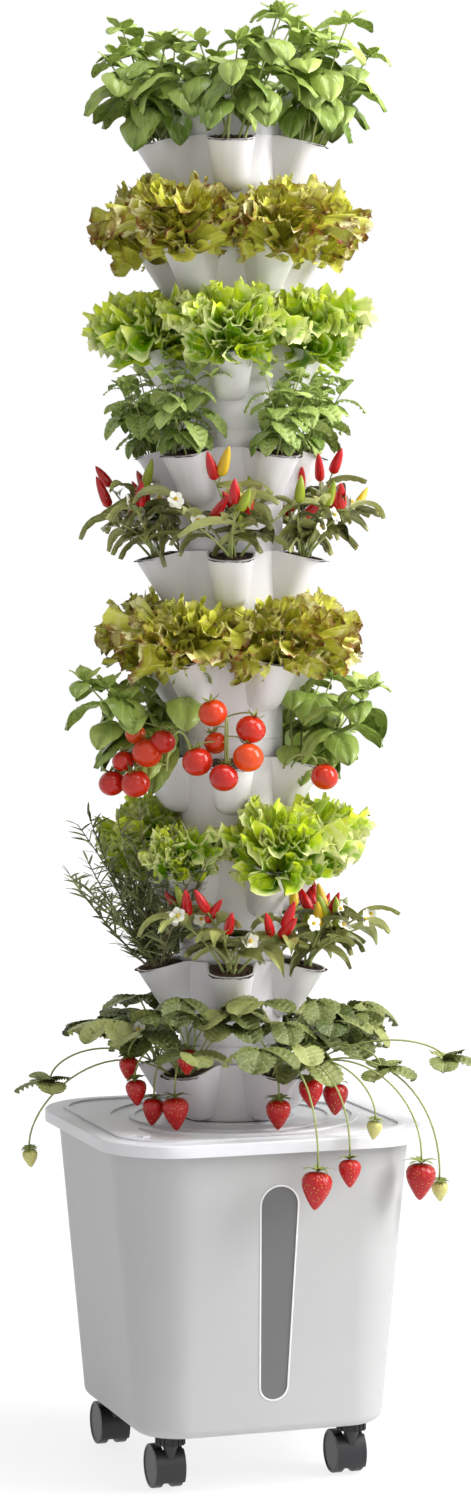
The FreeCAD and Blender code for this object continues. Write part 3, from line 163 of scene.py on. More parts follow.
def leaf_material(name, young, grown, rib, rim_colour, rim_from, veins, roughness, vein_depth=0.35,
                  blister_mm=0.0, rim_fleck_and_highlight=None):
    """A living leaf, from three marks on its surface: along and across it, and the leaf's own tone.

    Green runs from young to grown by tone, pale ribs fan out from the middle, and the margin takes
    its own colour from rim_from of the way out, with patches of a second, paler colour where that
    is given: partly the leaf's own flecks, partly painted highlights.
    A side vein starts at every other of the veins steps that the rib is cut into. Between its
    veins a leaf can be blistered, by BLISTER_HEIGHT of the blisters' size.
    """
    material, tree, shader = new_material(name, Roughness=roughness, IOR=1.42)
    along, across, tone = (add(tree, "ShaderNodeAttribute", attribute_name=mark).outputs["Fac"]
                           for mark in MARKS)
    where = add(tree, "ShaderNodeTexCoord").outputs["Object"]
    blotch = add(tree, "ShaderNodeTexNoise",
                 {"Vector": where, "Scale": BLOTCHES_PER_METRE, "Detail": 3.0})
    mottle = add(tree, "ShaderNodeMath", {0: blotch, 1: BLOTCH_SHIFT, 2: -BLOTCH_SHIFT / 2},
                 operation="MULTIPLY_ADD")
    ripeness = add(tree, "ShaderNodeMath", {0: tone, 1: mottle}, operation="ADD", use_clamp=True)
    green = add(tree, "ShaderNodeValToRGB", {"Fac": ripeness}, stops=((0.0, young), (1.0, grown)))
    span = add(tree, "ShaderNodeMath", {0: across}, operation="ABSOLUTE")
    slant = add(tree, "ShaderNodeMath", {0: span, 1: -veins * VEIN_SLANT}, operation="MULTIPLY")
    rank = add(tree, "ShaderNodeMath", {0: along, 1: float(veins), 2: slant},
               operation="MULTIPLY_ADD")
    phase = add(tree, "ShaderNodeMath", {0: rank, 1: 1.0}, operation="PINGPONG")
    side_vein = add(tree, "ShaderNodeMapRange",
                    {"Value": phase, "From Min": 0.0, "From Max": VEIN_WIDTH,
                     "To Min": 1.0, "To Max": 0.0})
    mid_vein = add(tree, "ShaderNodeMapRange",
                   {"Value": span, "From Min": MIDRIB_FADE[0], "From Max": MIDRIB_FADE[1],
                    "To Min": 1.0, "To Max": 0.0})
    vein = add(tree, "ShaderNodeMath", {0: side_vein, 1: mid_vein}, operation="MAXIMUM")
    vein_share = add(tree, "ShaderNodeMath", {0: vein, 1: vein_depth}, operation="MULTIPLY")
    veined = add(tree, "ShaderNodeMix", {"Factor": vein_share, "A": green, "B": linear(rib)},
                 data_type="RGBA")
    # The margin's colour comes in patches and is wider on old leaves, so blotches and tone shift it
    patchy = add(tree, "ShaderNodeMath", {0: along, 1: mottle}, operation="ADD")
    edge = add(tree, "ShaderNodeMath", {0: tone, 1: AGE_REACH, 2: patchy}, operation="MULTIPLY_ADD")
    rim_share = add(tree, "ShaderNodeMapRange",
                    {"Value": edge, "From Min": rim_from, "From Max": RIM_END})
    # Patches of the second margin colour are partly painted highlights on the frills
    margin = add(tree, "ShaderNodeValToRGB", {"Fac": blotch},
                 stops=((FLECK_AND_HIGHLIGHT_FADE[0], rim_colour), (FLECK_AND_HIGHLIGHT_FADE[1], rim_fleck_and_highlight or rim_colour)))
    leaf = add(tree, "ShaderNodeMix", {"Factor": rim_share, "A": veined.outputs[2], "B": margin},
               data_type="RGBA")
    relief = add(tree, "ShaderNodeBump", {"Height": vein, "Strength": 0.5, "Distance": VEIN_RELIEF},
                 invert=True)
    if blister_mm:
        swelling = add(tree, "ShaderNodeTexNoise",
                       {"Vector": where, "Scale": 1 / (blister_mm * MM), "Detail": 1.0})
        relief = add(tree, "ShaderNodeBump",
                     {"Height": swelling, "Strength": 0.7, "Normal": relief,
                      "Distance": BLISTER_HEIGHT * blister_mm * MM})
    feed(tree, shader, {"Base Color": leaf.outputs[2], "Normal": relief})
    return material


# Surfaces

MARKS = ("along", "across", "tone")


def build(name, points, corners, starts, material, marks=None):
    """A smooth mesh object from points, and polygons as one run of corners with their starts."""
    mesh = bpy.data.meshes.new(name)
    mesh.vertices.add(len(points))
    mesh.vertices.foreach_set("co", np.ascontiguousarray(points, dtype=np.float32).reshape(-1))
    mesh.loops.add(len(corners))
    mesh.loops.foreach_set("vertex_index", np.ascontiguousarray(corners, dtype=np.int32))
    mesh.polygons.add(len(starts))
    mesh.polygons.foreach_set("loop_start", np.ascontiguousarray(starts, dtype=np.int32))
    mesh.update(calc_edges=True)
    mesh.shade_smooth()
    for mark, values in (marks or {}).items():
        layer = mesh.attributes.new(mark, "FLOAT", "POINT")
        layer.data.foreach_set("value", np.ascontiguousarray(values, dtype=np.float32))
    mesh.materials.append(material)
    thing = bpy.data.objects.new(name, mesh)
    bpy.context.scene.collection.objects.link(thing)
    return thing


def surface(name, patches, material):
    """One mesh from many patches, each a grid of points [patch, along, across, xyz].

    A patch is (grid, ring, marks): where ring is true, its last column joins its first and flat
    faces close both ends. Marks are numbers that a material can read at each point.
    """
    points, corners, starts, sums = [], [], [], {mark: [] for mark in MARKS}
    first, loops = 0, 0
    for grid, ring, marks in patches:
        count, along, across = shape = grid.shape[:3]
        ids = first + np.arange(count * along * across).reshape(shape)
        here = ids if ring else ids[:, :, :-1]
        after = np.roll(ids, -1, axis=2) if ring else ids[:, :, 1:]
        quads = np.stack([here[:, :-1], after[:, :-1], after[:, 1:], here[:, 1:]], axis=-1)
        quads = quads.reshape(-1)
        corners.append(quads)
        starts.append(loops + np.arange(quads.size // 4) * 4)
        loops += quads.size
        if ring:
            ends = np.concatenate([ids[:, 0, ::-1], ids[:, -1]])
            corners.append(ends.reshape(-1))
            starts.append(loops + np.arange(len(ends)) * across)
            loops += ends.size
        points.append(grid.reshape(-1, 3))
        for mark in MARKS:
            sums[mark].append(np.broadcast_to(marks.get(mark, 0.0), shape).reshape(-1))
        first += ids.size
    marks = {mark: np.concatenate(parts) for mark, parts in sums.items()}
    return build(name, np.concatenate(points), np.concatenate(corners), np.concatenate(starts),
                 material, marks)


def each(values):
    """Per-patch numbers shaped to spread over a patch's grid."""
    return np.asarray(values, dtype=float)[:, None, None]


def shares(steps):
    """How far along a patch each of its rows lies, shaped to spread over its grid."""
    return np.linspace(0, 1, steps)[None, :, None]


def about(rng, middle, spread, count):
    """Random numbers up to spread under or over the middle."""
    return middle + rng.uniform(-spread, spread, count)


def unit(vectors):
    """Vectors the same way, at length one."""
    return vectors / np.linalg.norm(vectors, axis=-1, keepdims=True)


def square_to(axes):
    """Each axis at length one, and two more at right angles to it and to each other."""
    axes = unit(axes)
    one = unit(np.cross(axes, np.array([0.13, 0.96, 0.21])))
    return axes, one, np.cross(axes, one)


def rib(base, heading, climb, fall, length, steps, early=1.0):
    """Curves in upright planes: each leaves base at the angle climb and ends at the angle fall.

    The angle over level runs from climb to fall with the length to the power early, so a power
    under one bends most near the base, and the points are its running sum.
    """
    share = np.linspace(0, 1, steps + 1) ** early
    angle = climb[:, None] + (fall - climb)[:, None] * share
    middle = (angle[:, 1:] + angle[:, :-1]) / 2
    step = (length / steps)[:, None]
    nothing = np.zeros((len(base), 1))
    out = np.concatenate([nothing, np.cumsum(np.cos(middle) * step, axis=1)], axis=1)
    rise = np.concatenate([nothing, np.cumsum(np.sin(middle) * step, axis=1)], axis=1)
    facing = np.stack([np.cos(heading), np.sin(heading), np.zeros(len(heading))], axis=1)
    points = base[:, None] + out[..., None] * facing[:, None] + rise[..., None] * UP
    return points, angle, facing


def off_the_column(grid):
    """Presses the parts of a leaf that would enter the tower's column out to its wall."""
    reach = np.linalg.norm(grid[..., :2], axis=-1, keepdims=True)
    push = np.maximum((COLUMN_RADIUS + LEAF_GAP) / reach, 1.0)
    return np.concatenate([grid[..., :2] * push, grid[..., 2:]], axis=-1)


def blades(base, heading, climb, fall, length, half, outline, relief, roll, tone, early=1.0):
    """Leaves as sheets: a rib carries a width outline, and relief lifts the sheet off its plane.

    outline is the half width along the rib, as shares of half. relief[leaf, along, across] is the
    lift, also in shares of half. roll turns each leaf about its rib.
    """
    rows = len(outline)
    points, angle, facing = rib(base, heading, climb, fall, length, rows - 1, early)
    side = np.cross(facing, UP)[:, None] * np.ones((1, rows, 1))
    lift = -facing[:, None] * np.sin(angle)[..., None] + UP * np.cos(angle)[..., None]
    turn, lean = each(np.cos(roll)), each(np.sin(roll))
    side, lift = side * turn + lift * lean, lift * turn - side * lean
    v = np.linspace(-1, 1, relief.shape[2])
    wide = each(half) * np.asarray(outline)[None, :, None] * v
    high = each(half) * relief
    grid = (points[:, :, None] + side[:, :, None] * wide[..., None]
            + lift[:, :, None] * high[..., None])
    return off_the_column(grid), False, {"along": shares(rows), "across": v[None, None],
                                         "tone": each(tone)}


def tubes(paths, radii):
    """Stems: a ring of points carried along each path [stem, along, xyz], its radius from radii."""
    sides, never_zero = 6, 1e-12
    ahead = np.gradient(paths, axis=1)
    ahead /= np.linalg.norm(ahead, axis=2, keepdims=True) + never_zero
    one = unit(np.cross(ahead, np.array([0.31, 0.17, 0.93])))
    other = np.cross(ahead, one)
    turn = (np.arange(sides) * FULL_TURN / sides)[:, None]
    spoke = one[:, :, None] * np.cos(turn) + other[:, :, None] * np.sin(turn)
    grid = paths[:, :, None] + spoke * radii[..., None, None]
    return grid, True, {"along": shares(paths.shape[1]), "tone": 0.5}


def even_tubes(paths, radius):
    """Stems of one thickness."""
    return tubes(paths, np.full(paths.shape[:2], radius))


def thinning_tubes(paths, foot, tip):
    """Stems that thin evenly from foot to tip."""
    return tubes(paths, np.linspace(foot, tip, paths.shape[1])[None] * np.ones((len(paths), 1)))


def turned(centres, axes, profile, sides=12, tone=0.5):
    """Fruit: a profile of (height, radius) turned about each axis, which starts at its centre."""
    axes, one, other = square_to(axes)
    turn = (np.arange(sides) * FULL_TURN / sides)[:, None]
    spoke = one[:, None] * np.cos(turn) + other[:, None] * np.sin(turn)
    height, radius = np.moveaxis(np.asarray(profile, dtype=float), -1, 0)
    height = np.broadcast_to(height, (len(centres), height.shape[-1]))
    radius = np.broadcast_to(radius, height.shape)
    grid = (centres[:, None, None] + axes[:, None, None] * height[..., None, None]
            + spoke[:, None] * radius[..., None, None])
    return grid, True, {"along": shares(height.shape[1]), "tone": tone}


def star(rng, centres, axes, length, half, points, outline, rise, curl):
    """Petals or the leaves of a calyx: spread round an axis, each rising from rise to curl over the
    plane across it, by a running sum as a rib does. Each leans and is toned a little by itself."""
    lean, oldest = 0.15, 0.6
    axes, one, other = square_to(axes)
    count = len(centres)
    turn = (np.arange(points) * FULL_TURN / points)[None] + rng.uniform(0, 1, (count, 1))
    cos, sin = np.cos(turn)[..., None], np.sin(turn)[..., None]
    ray = one[:, None] * cos + other[:, None] * sin
    side = other[:, None] * cos - one[:, None] * sin
    steps = len(outline) - 1
    angle = about(rng, rise + (curl - rise) * (np.arange(steps) + 0.5) / steps, lean,
                  (count, points, 1))
    start = np.zeros((count, points, 1))
    out, up = (np.concatenate([start, np.cumsum(part * length / steps, axis=2)], axis=2)
               for part in (np.cos(angle), np.sin(angle)))
    v = np.linspace(-1, 1, 3)
    wide = half * np.asarray(outline)[:, None] * v
    grid = (centres[:, None, None, None] + ray[:, :, None, None] * out[..., None, None]
            + axes[:, None, None, None] * up[..., None, None]
            + side[:, :, None, None] * wide[..., None])
    marks = {"along": shares(steps + 1), "across": v[None, None],
             "tone": each(rng.uniform(0, oldest, count * points))}
    return grid.reshape(count * points, steps + 1, 3, 3), False, marks


def bezier(corners, steps):
    """A cubic Bezier curve through four corner points, for a whole set of stems at once."""
    t = shares(steps)
    a, b, c, d = (corner[:, None] for corner in corners)
    return (1 - t) ** 3 * a + 3 * (1 - t) ** 2 * t * b + 3 * (1 - t) * t ** 2 * c + t ** 3 * d


def gather(parts):
    """Joins patches of one kind into one run."""
    grids = np.concatenate([grid for grid, ring, marks in parts])
    marks = {mark: np.concatenate([np.broadcast_to(values.get(mark, 0.0), grid.shape[:3])
                                   for grid, ring, values in parts]) for mark in MARKS}
    return grids, parts[0][1], marks


def dress(name, patches, material, tier, nodes=()):
    """Sets a finished piece on its tier, with the material slot it shows."""
    thing = surface(name, patches, material)
    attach(thing, f"tier_{tier:02d}")
    for node in nodes:
        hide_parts(node)


# The tower's pockets

def tier_base(tier):
    """Height of a tier's foot over the floor."""
    return TOWER_FOOT + (tier - 1) * TIER_PITCH


def pocket_heading(tier, pocket):
    """Compass angle of a pocket: odd tiers are turned by half a pocket against even ones."""
    step = 360 / POCKETS
    return FIRST_HEADING + math.radians((tier % 2) * step / 2 + step * pocket)


def compass(heading, reach, height):
    """Points at a reach from the tower's axis along a heading."""
    heading, reach, height = np.broadcast_arrays(heading, reach, height)
    return np.stack([reach * np.cos(heading), reach * np.sin(heading), height], axis=-1)


def soil_spots(rng, tier, pocket, count, spread=1.0):
    """Random places on the growing medium of one pocket, as dense at its edge as in its middle."""
    turn = rng.uniform(0, FULL_TURN, count)
    far = np.sqrt(rng.uniform(0, 1, count)) * spread
    out = POCKET_REACH + MEDIUM_HALF_OUT * far * np.cos(turn)
    aside = MEDIUM_HALF_ASIDE * far * np.sin(turn)
    heading = pocket_heading(tier, pocket)
    spots = compass(heading, out, tier_base(tier) + SOIL)
    spots[:, 0] -= aside * math.sin(heading)
    spots[:, 1] += aside * math.cos(heading)
    return spots


def swerve(heading, pocket_way, share):
    """Turns headings that would run into the column towards the pocket's own way out."""
    off = (heading - pocket_way + math.pi) % FULL_TURN - math.pi
    return pocket_way + off * share


def any_way(rng, way, count, share):
    """Random headings all round, swerved towards the pocket's way out."""
    return swerve(way + rng.uniform(-math.pi, math.pi, count), way, share)


def even_ways(rng, way, count, spread, share):
    """Headings spaced all round, shifted by up to spread, and swerved towards the way out."""
    ways = way + np.linspace(-math.pi, math.pi, count, endpoint=False)
    return swerve(about(rng, ways, spread, count), way, share)


def clear_of_column(base, heading, length, keep=0.35):
    """Shortens leaves that would reach into the column, but not under keep of their length."""
    hardly_inward = 0.05
    reach = np.linalg.norm(base[:, :2], axis=1)
    inward = -(base[:, 0] * np.cos(heading) + base[:, 1] * np.sin(heading)) / reach
    room = (reach - COLUMN_RADIUS - LEAF_GAP) / np.maximum(inward, hardly_inward)
    return np.where(inward > hardly_inward, np.clip(room, keep * length, length), length)


# Leaf forms: width along the rib, and lift off the leaf's plane

def leaf_outline(steps, widest, blunt, stalk=0.0):
    """Half width along a leaf, as shares of its greatest. The stalk is a share of its length.

    It is t to the power blunt times (1 - t) to the power that puts the greatest width at widest.
    """
    least = 0.04
    t = np.clip((np.linspace(0, 1, steps + 1) - stalk) / (1 - stalk), 0, 1)
    taper = blunt * (1 - widest) / widest
    return np.maximum((t / widest) ** blunt * ((1 - t) / (1 - widest)) ** taper, least)


BROAD = leaf_outline(15, 0.44, 0.56, 0.08)
OVATE = leaf_outline(24, 0.4, 0.56, 0.06)
LANCE = leaf_outline(10, 0.38, 0.8, 0.06)
LEAFLET = leaf_outline(24, 0.58, 0.6, 0.02)
PETAL = leaf_outline(7, 0.5, 0.6)
NEEDLE = [0.8, 1.0, 0.9, 0.15]


def domed(outline, across, cup, puff, veins):
    """A leaf whose margins curl down by cup, puffed up by puff between its side veins, and creased
    by a bell curve along its rib."""
    crease_depth, crease_width = 0.16, 0.22
    u = np.linspace(0, 1, len(outline))[:, None]
    v = np.linspace(-1, 1, across)[None]
    rank = veins * u - VEIN_SLANT * veins * np.abs(v)
    pillow = puff * np.cos(FULL_TURN * rank) * (1 - np.abs(v))
    crease = -crease_depth * np.exp(-(v / crease_width) ** 2)
    return (-cup * v ** 2 + pillow + crease)[None]


def broken_ruffle(rng, count, along, across, depth):
    """Random folds across a leaf: sines that share its length, deeper towards margin and middle.

    Two waves run along it, slanted by 1.2 radians at the margin. They grow with a power of the
    distance from the rib, and fade at both ends with the root of a half sine.
    """
    waves, slant, growth = 2.0, 1.2, 1.5
    u = shares(along)
    v = np.linspace(-1, 1, across)[None, None]
    start = rng.uniform(0, FULL_TURN, (count, 1, 1))
    fold = np.sin(FULL_TURN * waves * u + start + slant * v)
    return depth * fold * np.abs(v) ** growth * np.sin(math.pi * u) ** 0.5


def toothed(leaves, teeth, depth):
    """Draws a leaf's margin in towards its rib like saw teeth, deepest just before each point."""
    grid, ring, marks = leaves
    saw = 1 - depth * ((np.linspace(0, 1, grid.shape[1]) * teeth) % 1)
    middle = grid.shape[2] // 2
    spine = grid[:, :, middle:middle + 1]
    margin = np.zeros(grid.shape[2])
    margin[[0, -1]] = 1
    scale = 1 + margin[None, None] * (saw[None, :, None] - 1)
    return spine + (grid - spine) * scale[..., None], ring, marks


# Herbs. What basil and mint share: points along a stem, shares of its height and lean, its least
# bow and how thin it gets; how far a leaf twists; how much more the upper leaves rise and sag,
# and how evenly; leaf size as (least, swelling, power) over the height, and its spread; tone and
# (its start, its loss) over the height; and the tuft on top, where a pair for rise or sag is
# (middle, spread)
SPRIG = dict(steps=20, tall=(0.72, 1.0), leaning=(0.3, 1.0), least_bow=4, thinning=0.55, twist=0.35,
             later_rise=26, rise_spread=20, later_sag=34, sag_spread=22, swell=(0.56, 0.5, 1.3),
             size_spread=(0.72, 1.12), tone=(0.25, 1.0), tone_by_height=(1.15, 0.5), tuft_leaves=4,
             tuft_turn=0.8, tuft_rise=(70, 10), tuft_sag=(10, 20), tuft_size=(0.26, 0.42),
             tuft_tone=(0.0, 0.35), least_leaf=0.12, tooth=0.16)
BASIL = dict(SPRIG, height=146 * MM, lean=26, bow=12, outward=0.66, stem=1.5 * MM, first=0.4,
             pairs=4, rise=18, sag=-100, leaf=70 * MM, plump=0.29, outline=BROAD, across=11,
             cup=0.24, puff=0.11, veins=5, wavy=0.08, teeth=0, early=0.75)
SHORT_BASIL = dict(BASIL, height=132 * MM, lean=42, first=0.2, leaf=76 * MM)
MINT = dict(SPRIG, height=108 * MM, lean=26, bow=16, outward=0.6, stem=1.2 * MM, first=0.3, pairs=4,
            rise=22, sag=-86, leaf=47 * MM, plump=0.3, outline=OVATE, across=9, cup=0.06, puff=0.12,
            veins=7, wavy=0.05, teeth=8, early=0.6)


def sprig_leaves(rng, roots, way, look):
    """Stems with crossed pairs of leaves and a tuft on top. look names every size of the plant."""
    stems, steps = len(roots), look["steps"]
    heading = any_way(rng, way, stems, look["outward"])
    tall = look["height"] * rng.uniform(*look["tall"], stems)
    climb = np.radians(90 - look["lean"] * rng.uniform(*look["leaning"], stems))
    fall = climb - np.radians(rng.uniform(look["least_bow"], look["bow"], stems))
    paths = rib(roots, heading, climb, fall, tall, steps)[0]
    least, swelling, power = look["swell"]
    tone_start, tone_loss = look["tone_by_height"]
    start = rng.uniform(0, FULL_TURN, stems)
    rows = []
    for level, share in enumerate(np.linspace(look["first"], 1.0, look["pairs"])):
        swell = least + swelling * math.sin(math.pi * share ** power)
        for side in (0, 1):
            twist = rng.uniform(-look["twist"], look["twist"], stems)
            rows.append((
                paths[:, int(round(share * steps))],
                start + level * math.pi / 2 + side * math.pi + twist,
                np.radians(about(rng, look["rise"] + look["later_rise"] * share,
                                 look["rise_spread"], stems)),
                np.radians(about(rng, look["sag"] + look["later_sag"] * share,
                                 look["sag_spread"], stems)),
                look["leaf"] * swell * rng.uniform(*look["size_spread"], stems),
                rng.uniform(*look["tone"], stems) * (tone_start - tone_loss * share)))
    for side in range(look["tuft_leaves"]):
        rows.append((
            paths[:, -1],
            start + side * math.pi / 2 + look["tuft_turn"],
            np.radians(about(rng, *look["tuft_rise"], stems)),
            np.radians(about(rng, *look["tuft_sag"], stems)),
            look["leaf"] * rng.uniform(*look["tuft_size"], stems),
            rng.uniform(*look["tuft_tone"], stems)))
    base, turn, rise, sag, size, tone = (np.concatenate(part) for part in zip(*rows))
    size = clear_of_column(base, turn, size, look["least_leaf"])
    roll = rng.uniform(-look["twist"], look["twist"], len(size))
    outline, across = look["outline"], look["across"]
    relief = domed(outline, across, look["cup"], look["puff"], look["veins"])
    relief = relief + broken_ruffle(rng, len(size), len(outline), across, look["wavy"])
    leaves = blades(base, turn, rise, sag, size, size * look["plump"], outline, relief, roll, tone,
                    look["early"])
    if look["teeth"]:
        leaves = toothed(leaves, look["teeth"], look["tooth"])
    return leaves, thinning_tubes(paths, look["stem"], look["stem"] * look["thinning"])


def herb_tier(tier, look, stems, leaf_stuff, name, pockets=range(POCKETS)):
    """The leaves and stems of a herb in the pockets of one tier."""
    rng = np.random.default_rng(tier)
    leaves, sticks = zip(*(sprig_leaves(rng, soil_spots(rng, tier, pocket, stems),
                                        pocket_heading(tier, pocket), look) for pocket in pockets))
    dress(f"{name}_leaves", [gather(leaves)], leaf_stuff, tier, [PLANT_NODES[tier]])
    dress(f"{name}_stems", [gather(sticks)], stem_green, tier)


# Lettuces. Nicks and folds are in waves to the radian, and a fold has its depth as a share of the
# leaf and the power that holds it outside. Painted fold shade is how much lighter in tone each
# fold's ridge is painted than its furrow.
GREEN_LETTUCE = dict(rings=9, rays=190, fan=100, nicks=52.0, breadth=0.86, cup=0.3, crinkle=0.026,
                     curl=1.5, painted_fold_shade=(0.1, 0.3, 0.4, 0.3),
                     folds=((5.0, 0.06, 1.5), (17.0, 0.085, 1.9), (38.0, 0.07, 2.4),
                            (67.0, 0.034, 3.2)))
BRONZE_LETTUCE = dict(rings=9, rays=190, fan=96, nicks=44.0, breadth=0.84, cup=0.24, crinkle=0.018,
                      curl=1.3, painted_fold_shade=(0.1, 0.2, 0.25, 0.15),
                      folds=((4.0, 0.11, 1.6), (13.0, 0.085, 2.0), (31.0, 0.055, 2.8),
                             (62.0, 0.03, 3.8)))
# What both share: where a ray starts and how its points crowd to the margin; how deep lobes and
# nicks are; by how much and by what power the side rays are shorter; how far folds wander, and how
# much and in how many waves they vary, where the second number is the change from one size of fold
# to the next finer one; and the power that holds the crinkle to the margin
LETTUCE_LEAF = dict(foot=0.03, crowding=1.5, lobe=0.08, lobe_share=0.6, nick=0.04, shorter=0.4,
                    shorter_power=2.2, wander=(0.9, 0.2), vary=0.45, vary_waves=(1.7, 1.9),
                    crinkle_power=7)
# A head: its leaves and their length; how its roots and headings spread; lean of the outer leaves
# and how far they lay themselves down, in degrees; growth from heart to outside; size in a young
# head and least size beside the column; and tone
HEAD = dict(leaves=12, long=84 * MM, golden_angle=math.radians(137.5), turn_spread=0.3, outward=0.8,
            root_spread=0.3, lean=26, inner_lean=0.5, lean_spread=5, least_lay=14, lay=76,
            lay_power=1.3, inner_lay=0.3, lay_spread=(0, 12), heart_size=0.9, growth=0.2,
            size_spread=(0.88, 1.08), young_size=0.68, least_size=0.72, heart_tone=0.1,
            tone_growth=0.6, tone_spread=0.3)


def frilled_leaves(rng, base, heading, climb, fall, length, look, tone):
    """Lettuce leaves: a fan of rays bent along its rib, with four sizes of folds at its margin.

    A point at share r of its ray lies at r times the ray's length. Each set of folds is a sine
    round the fan that grows with a power of r. It lifts the leaf, and a quarter wave later it
    swings it sideways by up to curl radians of its own wave, so the folds curl over but don't
    meet. Finer folds keep closer to the margin, whose last few millimetres are crinkled at random.
    The ridge of each fold is painted lighter in tone than its furrow: painted light and shade.
    """
    form = LETTUCE_LEAF
    count = len(base)
    r = 1 - (1 - np.linspace(form["foot"], 1, look["rings"])[None, :, None]) ** form["crowding"]
    phi = np.radians(np.linspace(-look["fan"], look["fan"], look["rays"]))[None, None]
    aside = phi / math.radians(look["fan"])
    s = rng.uniform(0, FULL_TURN, (6, count, 1, 1))
    lobes = (1 + form["lobe"] * np.sin(look["folds"][0][0] * form["lobe_share"] * phi + s[0])
             + form["nick"] * np.sin(look["nicks"] * phi + s[1]))
    ray = (1 - form["shorter"] * np.abs(aside) ** form["shorter_power"]) * lobes
    lift, swing, ridge = 0.0, 0.0, 0.0
    for place, (waves, depth, hold) in enumerate(look["folds"]):
        wander = form["wander"][0] - form["wander"][1] * place
        phase = waves * phi + s[place + 2] + wander * np.sin((place + 2) * phi + s[place])
        vary_waves = form["vary_waves"][0] + form["vary_waves"][1] * place
        swell = 1 + form["vary"] * np.sin(vary_waves * phi + s[5 - place])
        lift = lift + depth * r ** hold * swell * np.sin(phase)
        # Painted light and shade: a fold's ridge is made lighter in tone, its furrow darker
        ridge = ridge + look["painted_fold_shade"][place] * r * np.sin(phase)
        swing = swing + min(depth, look["curl"] / waves) * r ** hold * swell * np.cos(phase)
    jitter = rng.normal(size=(2, count, 1, look["rays"]))
    crinkle = look["crinkle"] * r ** form["crinkle_power"] * jitter
    lift = lift + crinkle[0]
    ray = ray + crinkle[1]
    x = r * ray * np.cos(phi) - swing * np.sin(phi)
    y = (r * ray * np.sin(phi) + swing * np.cos(phi)) * look["breadth"]
    bend = each(fall - climb)
    angle = each(climb) + bend * x
    out = (np.sin(angle) - np.sin(each(climb))) / bend
    rise = -(np.cos(angle) - np.cos(each(climb))) / bend
    facing = np.stack([np.cos(heading), np.sin(heading), 0 * heading], axis=1)[:, None, None]
    side = np.cross(facing, UP)
    lift = lift + look["cup"] * y ** 2
    size = each(length)[..., None]
    normal = -facing * np.sin(angle)[..., None] + UP * np.cos(angle)[..., None]
    grid = (base[:, None, None] + size * (out[..., None] * facing + rise[..., None] * UP
                                          + y[..., None] * side + lift[..., None] * normal))
    # The tone mark carries this painted fold shade as well as the leaf's age
    return off_the_column(grid), False, {"along": r * np.ones_like(ray), "across": aside + 0 * r,
                                         "tone": each(tone) - ridge}


def lettuce_tier(tier, look, leaf_stuff, name, young=()):
    """A head of lettuce in each pocket: upright in its heart, and laid over the rim outside.

    The heads in the young pockets are smaller.
    """
    rng = np.random.default_rng(tier)
    leaves = HEAD["leaves"]
    rank = np.linspace(0, 1, leaves)
    parts = []
    for pocket in range(POCKETS):
        way = pocket_heading(tier, pocket)
        spiral = way + HEAD["golden_angle"] * np.arange(leaves)
        heading = swerve(about(rng, spiral, HEAD["turn_spread"], leaves), way, HEAD["outward"])
        base = soil_spots(rng, tier, pocket, leaves, HEAD["root_spread"])
        outward = 0.5 + 0.5 * np.cos(heading - way)
        upright = 90 - HEAD["lean"] * rank * (HEAD["inner_lean"] + outward)
        climb = np.radians(about(rng, upright, HEAD["lean_spread"], leaves))
        laid = HEAD["inner_lay"] + (1 - HEAD["inner_lay"]) * outward
        fall = climb - np.radians(HEAD["least_lay"] + HEAD["lay"] * rank ** HEAD["lay_power"] * laid
                                  + rng.uniform(*HEAD["lay_spread"], leaves))
        length = (HEAD["long"] * (HEAD["heart_size"] + HEAD["growth"] * rank)
                  * rng.uniform(*HEAD["size_spread"], leaves))
        length = length * (HEAD["young_size"] if pocket in young else 1)
        length = clear_of_column(base, heading, length, HEAD["least_size"])
        tone = about(rng, HEAD["heart_tone"] + HEAD["tone_growth"] * rank, HEAD["tone_spread"],
                     leaves)
        tone = np.clip(tone, 0, 1)
        parts.append(frilled_leaves(rng, base, heading, climb, fall, length, look, tone))
    dress(f"{name}_leaves", [gather(parts)], leaf_stuff, tier, [PLANT_NODES[tier]])


# Peppers: the twigs, their leaves, the pods on them and the flowers. Foot and tip are radii. A pod
# leans aside and outward by these shares of its way up.
PEPPER = dict(twigs=8, per_twig=4, steps=12, root_spread=0.5, turn_spread=0.3, outward=0.62,
              climb=(48, 84), bow=(14, 46), height=74 * MM, tall=(0.85, 1.35), foot=1.7 * MM,
              tip=1.0 * MM, lowest_leaf=5, leaf_outward=0.85, leaf=60 * MM, leaf_size=(0.7, 1.15),
              leaf_climb=(5, 58), leaf_fall=(-78, -22), half=9.4 * MM, half_size=(0.85, 1.2),
              roll=0.6, across=5, cup=0.1, puff=0.05, veins=5, fold=0.5)
PODS = dict(count=9, lowest=8, lean=0.75, outward=0.25, stalk=(8, 24), stalk_radius=0.9 * MM,
            long=(28, 38), girth=(5.4, 6.8), tones=[0.04, 0.3, 0.95], chances=[0.26, 0.08, 0.66],
            crown_back=1.5 * MM)
# A pod's girth along it, as shares, and turned profiles as (height, radius) in millimetres
POD_SHARE = np.array([0.0, 0.02, 0.1, 0.3, 0.55, 0.78, 0.93, 1.0])
POD_GIRTH = np.array([0.15, 0.62, 0.95, 1.0, 0.86, 0.58, 0.26, 0.03])
POD_CROWN = np.array([(0, 0.6), (1.2, 2.6), (2.6, 3.6), (3.2, 3.3)]) * MM
PEPPER_HEART = np.array([(0, 1.2), (1.5, 2.2), (3.4, 1.9), (4.2, 0.5)]) * MM
BLOOMS = dict(count=5, out=(6, 26), up=(-8, 14), turn=0.6, upward=0.35, length=10.5 * MM,
              half=4.4 * MM, petals=5, rise=0.5, curl=0.1)


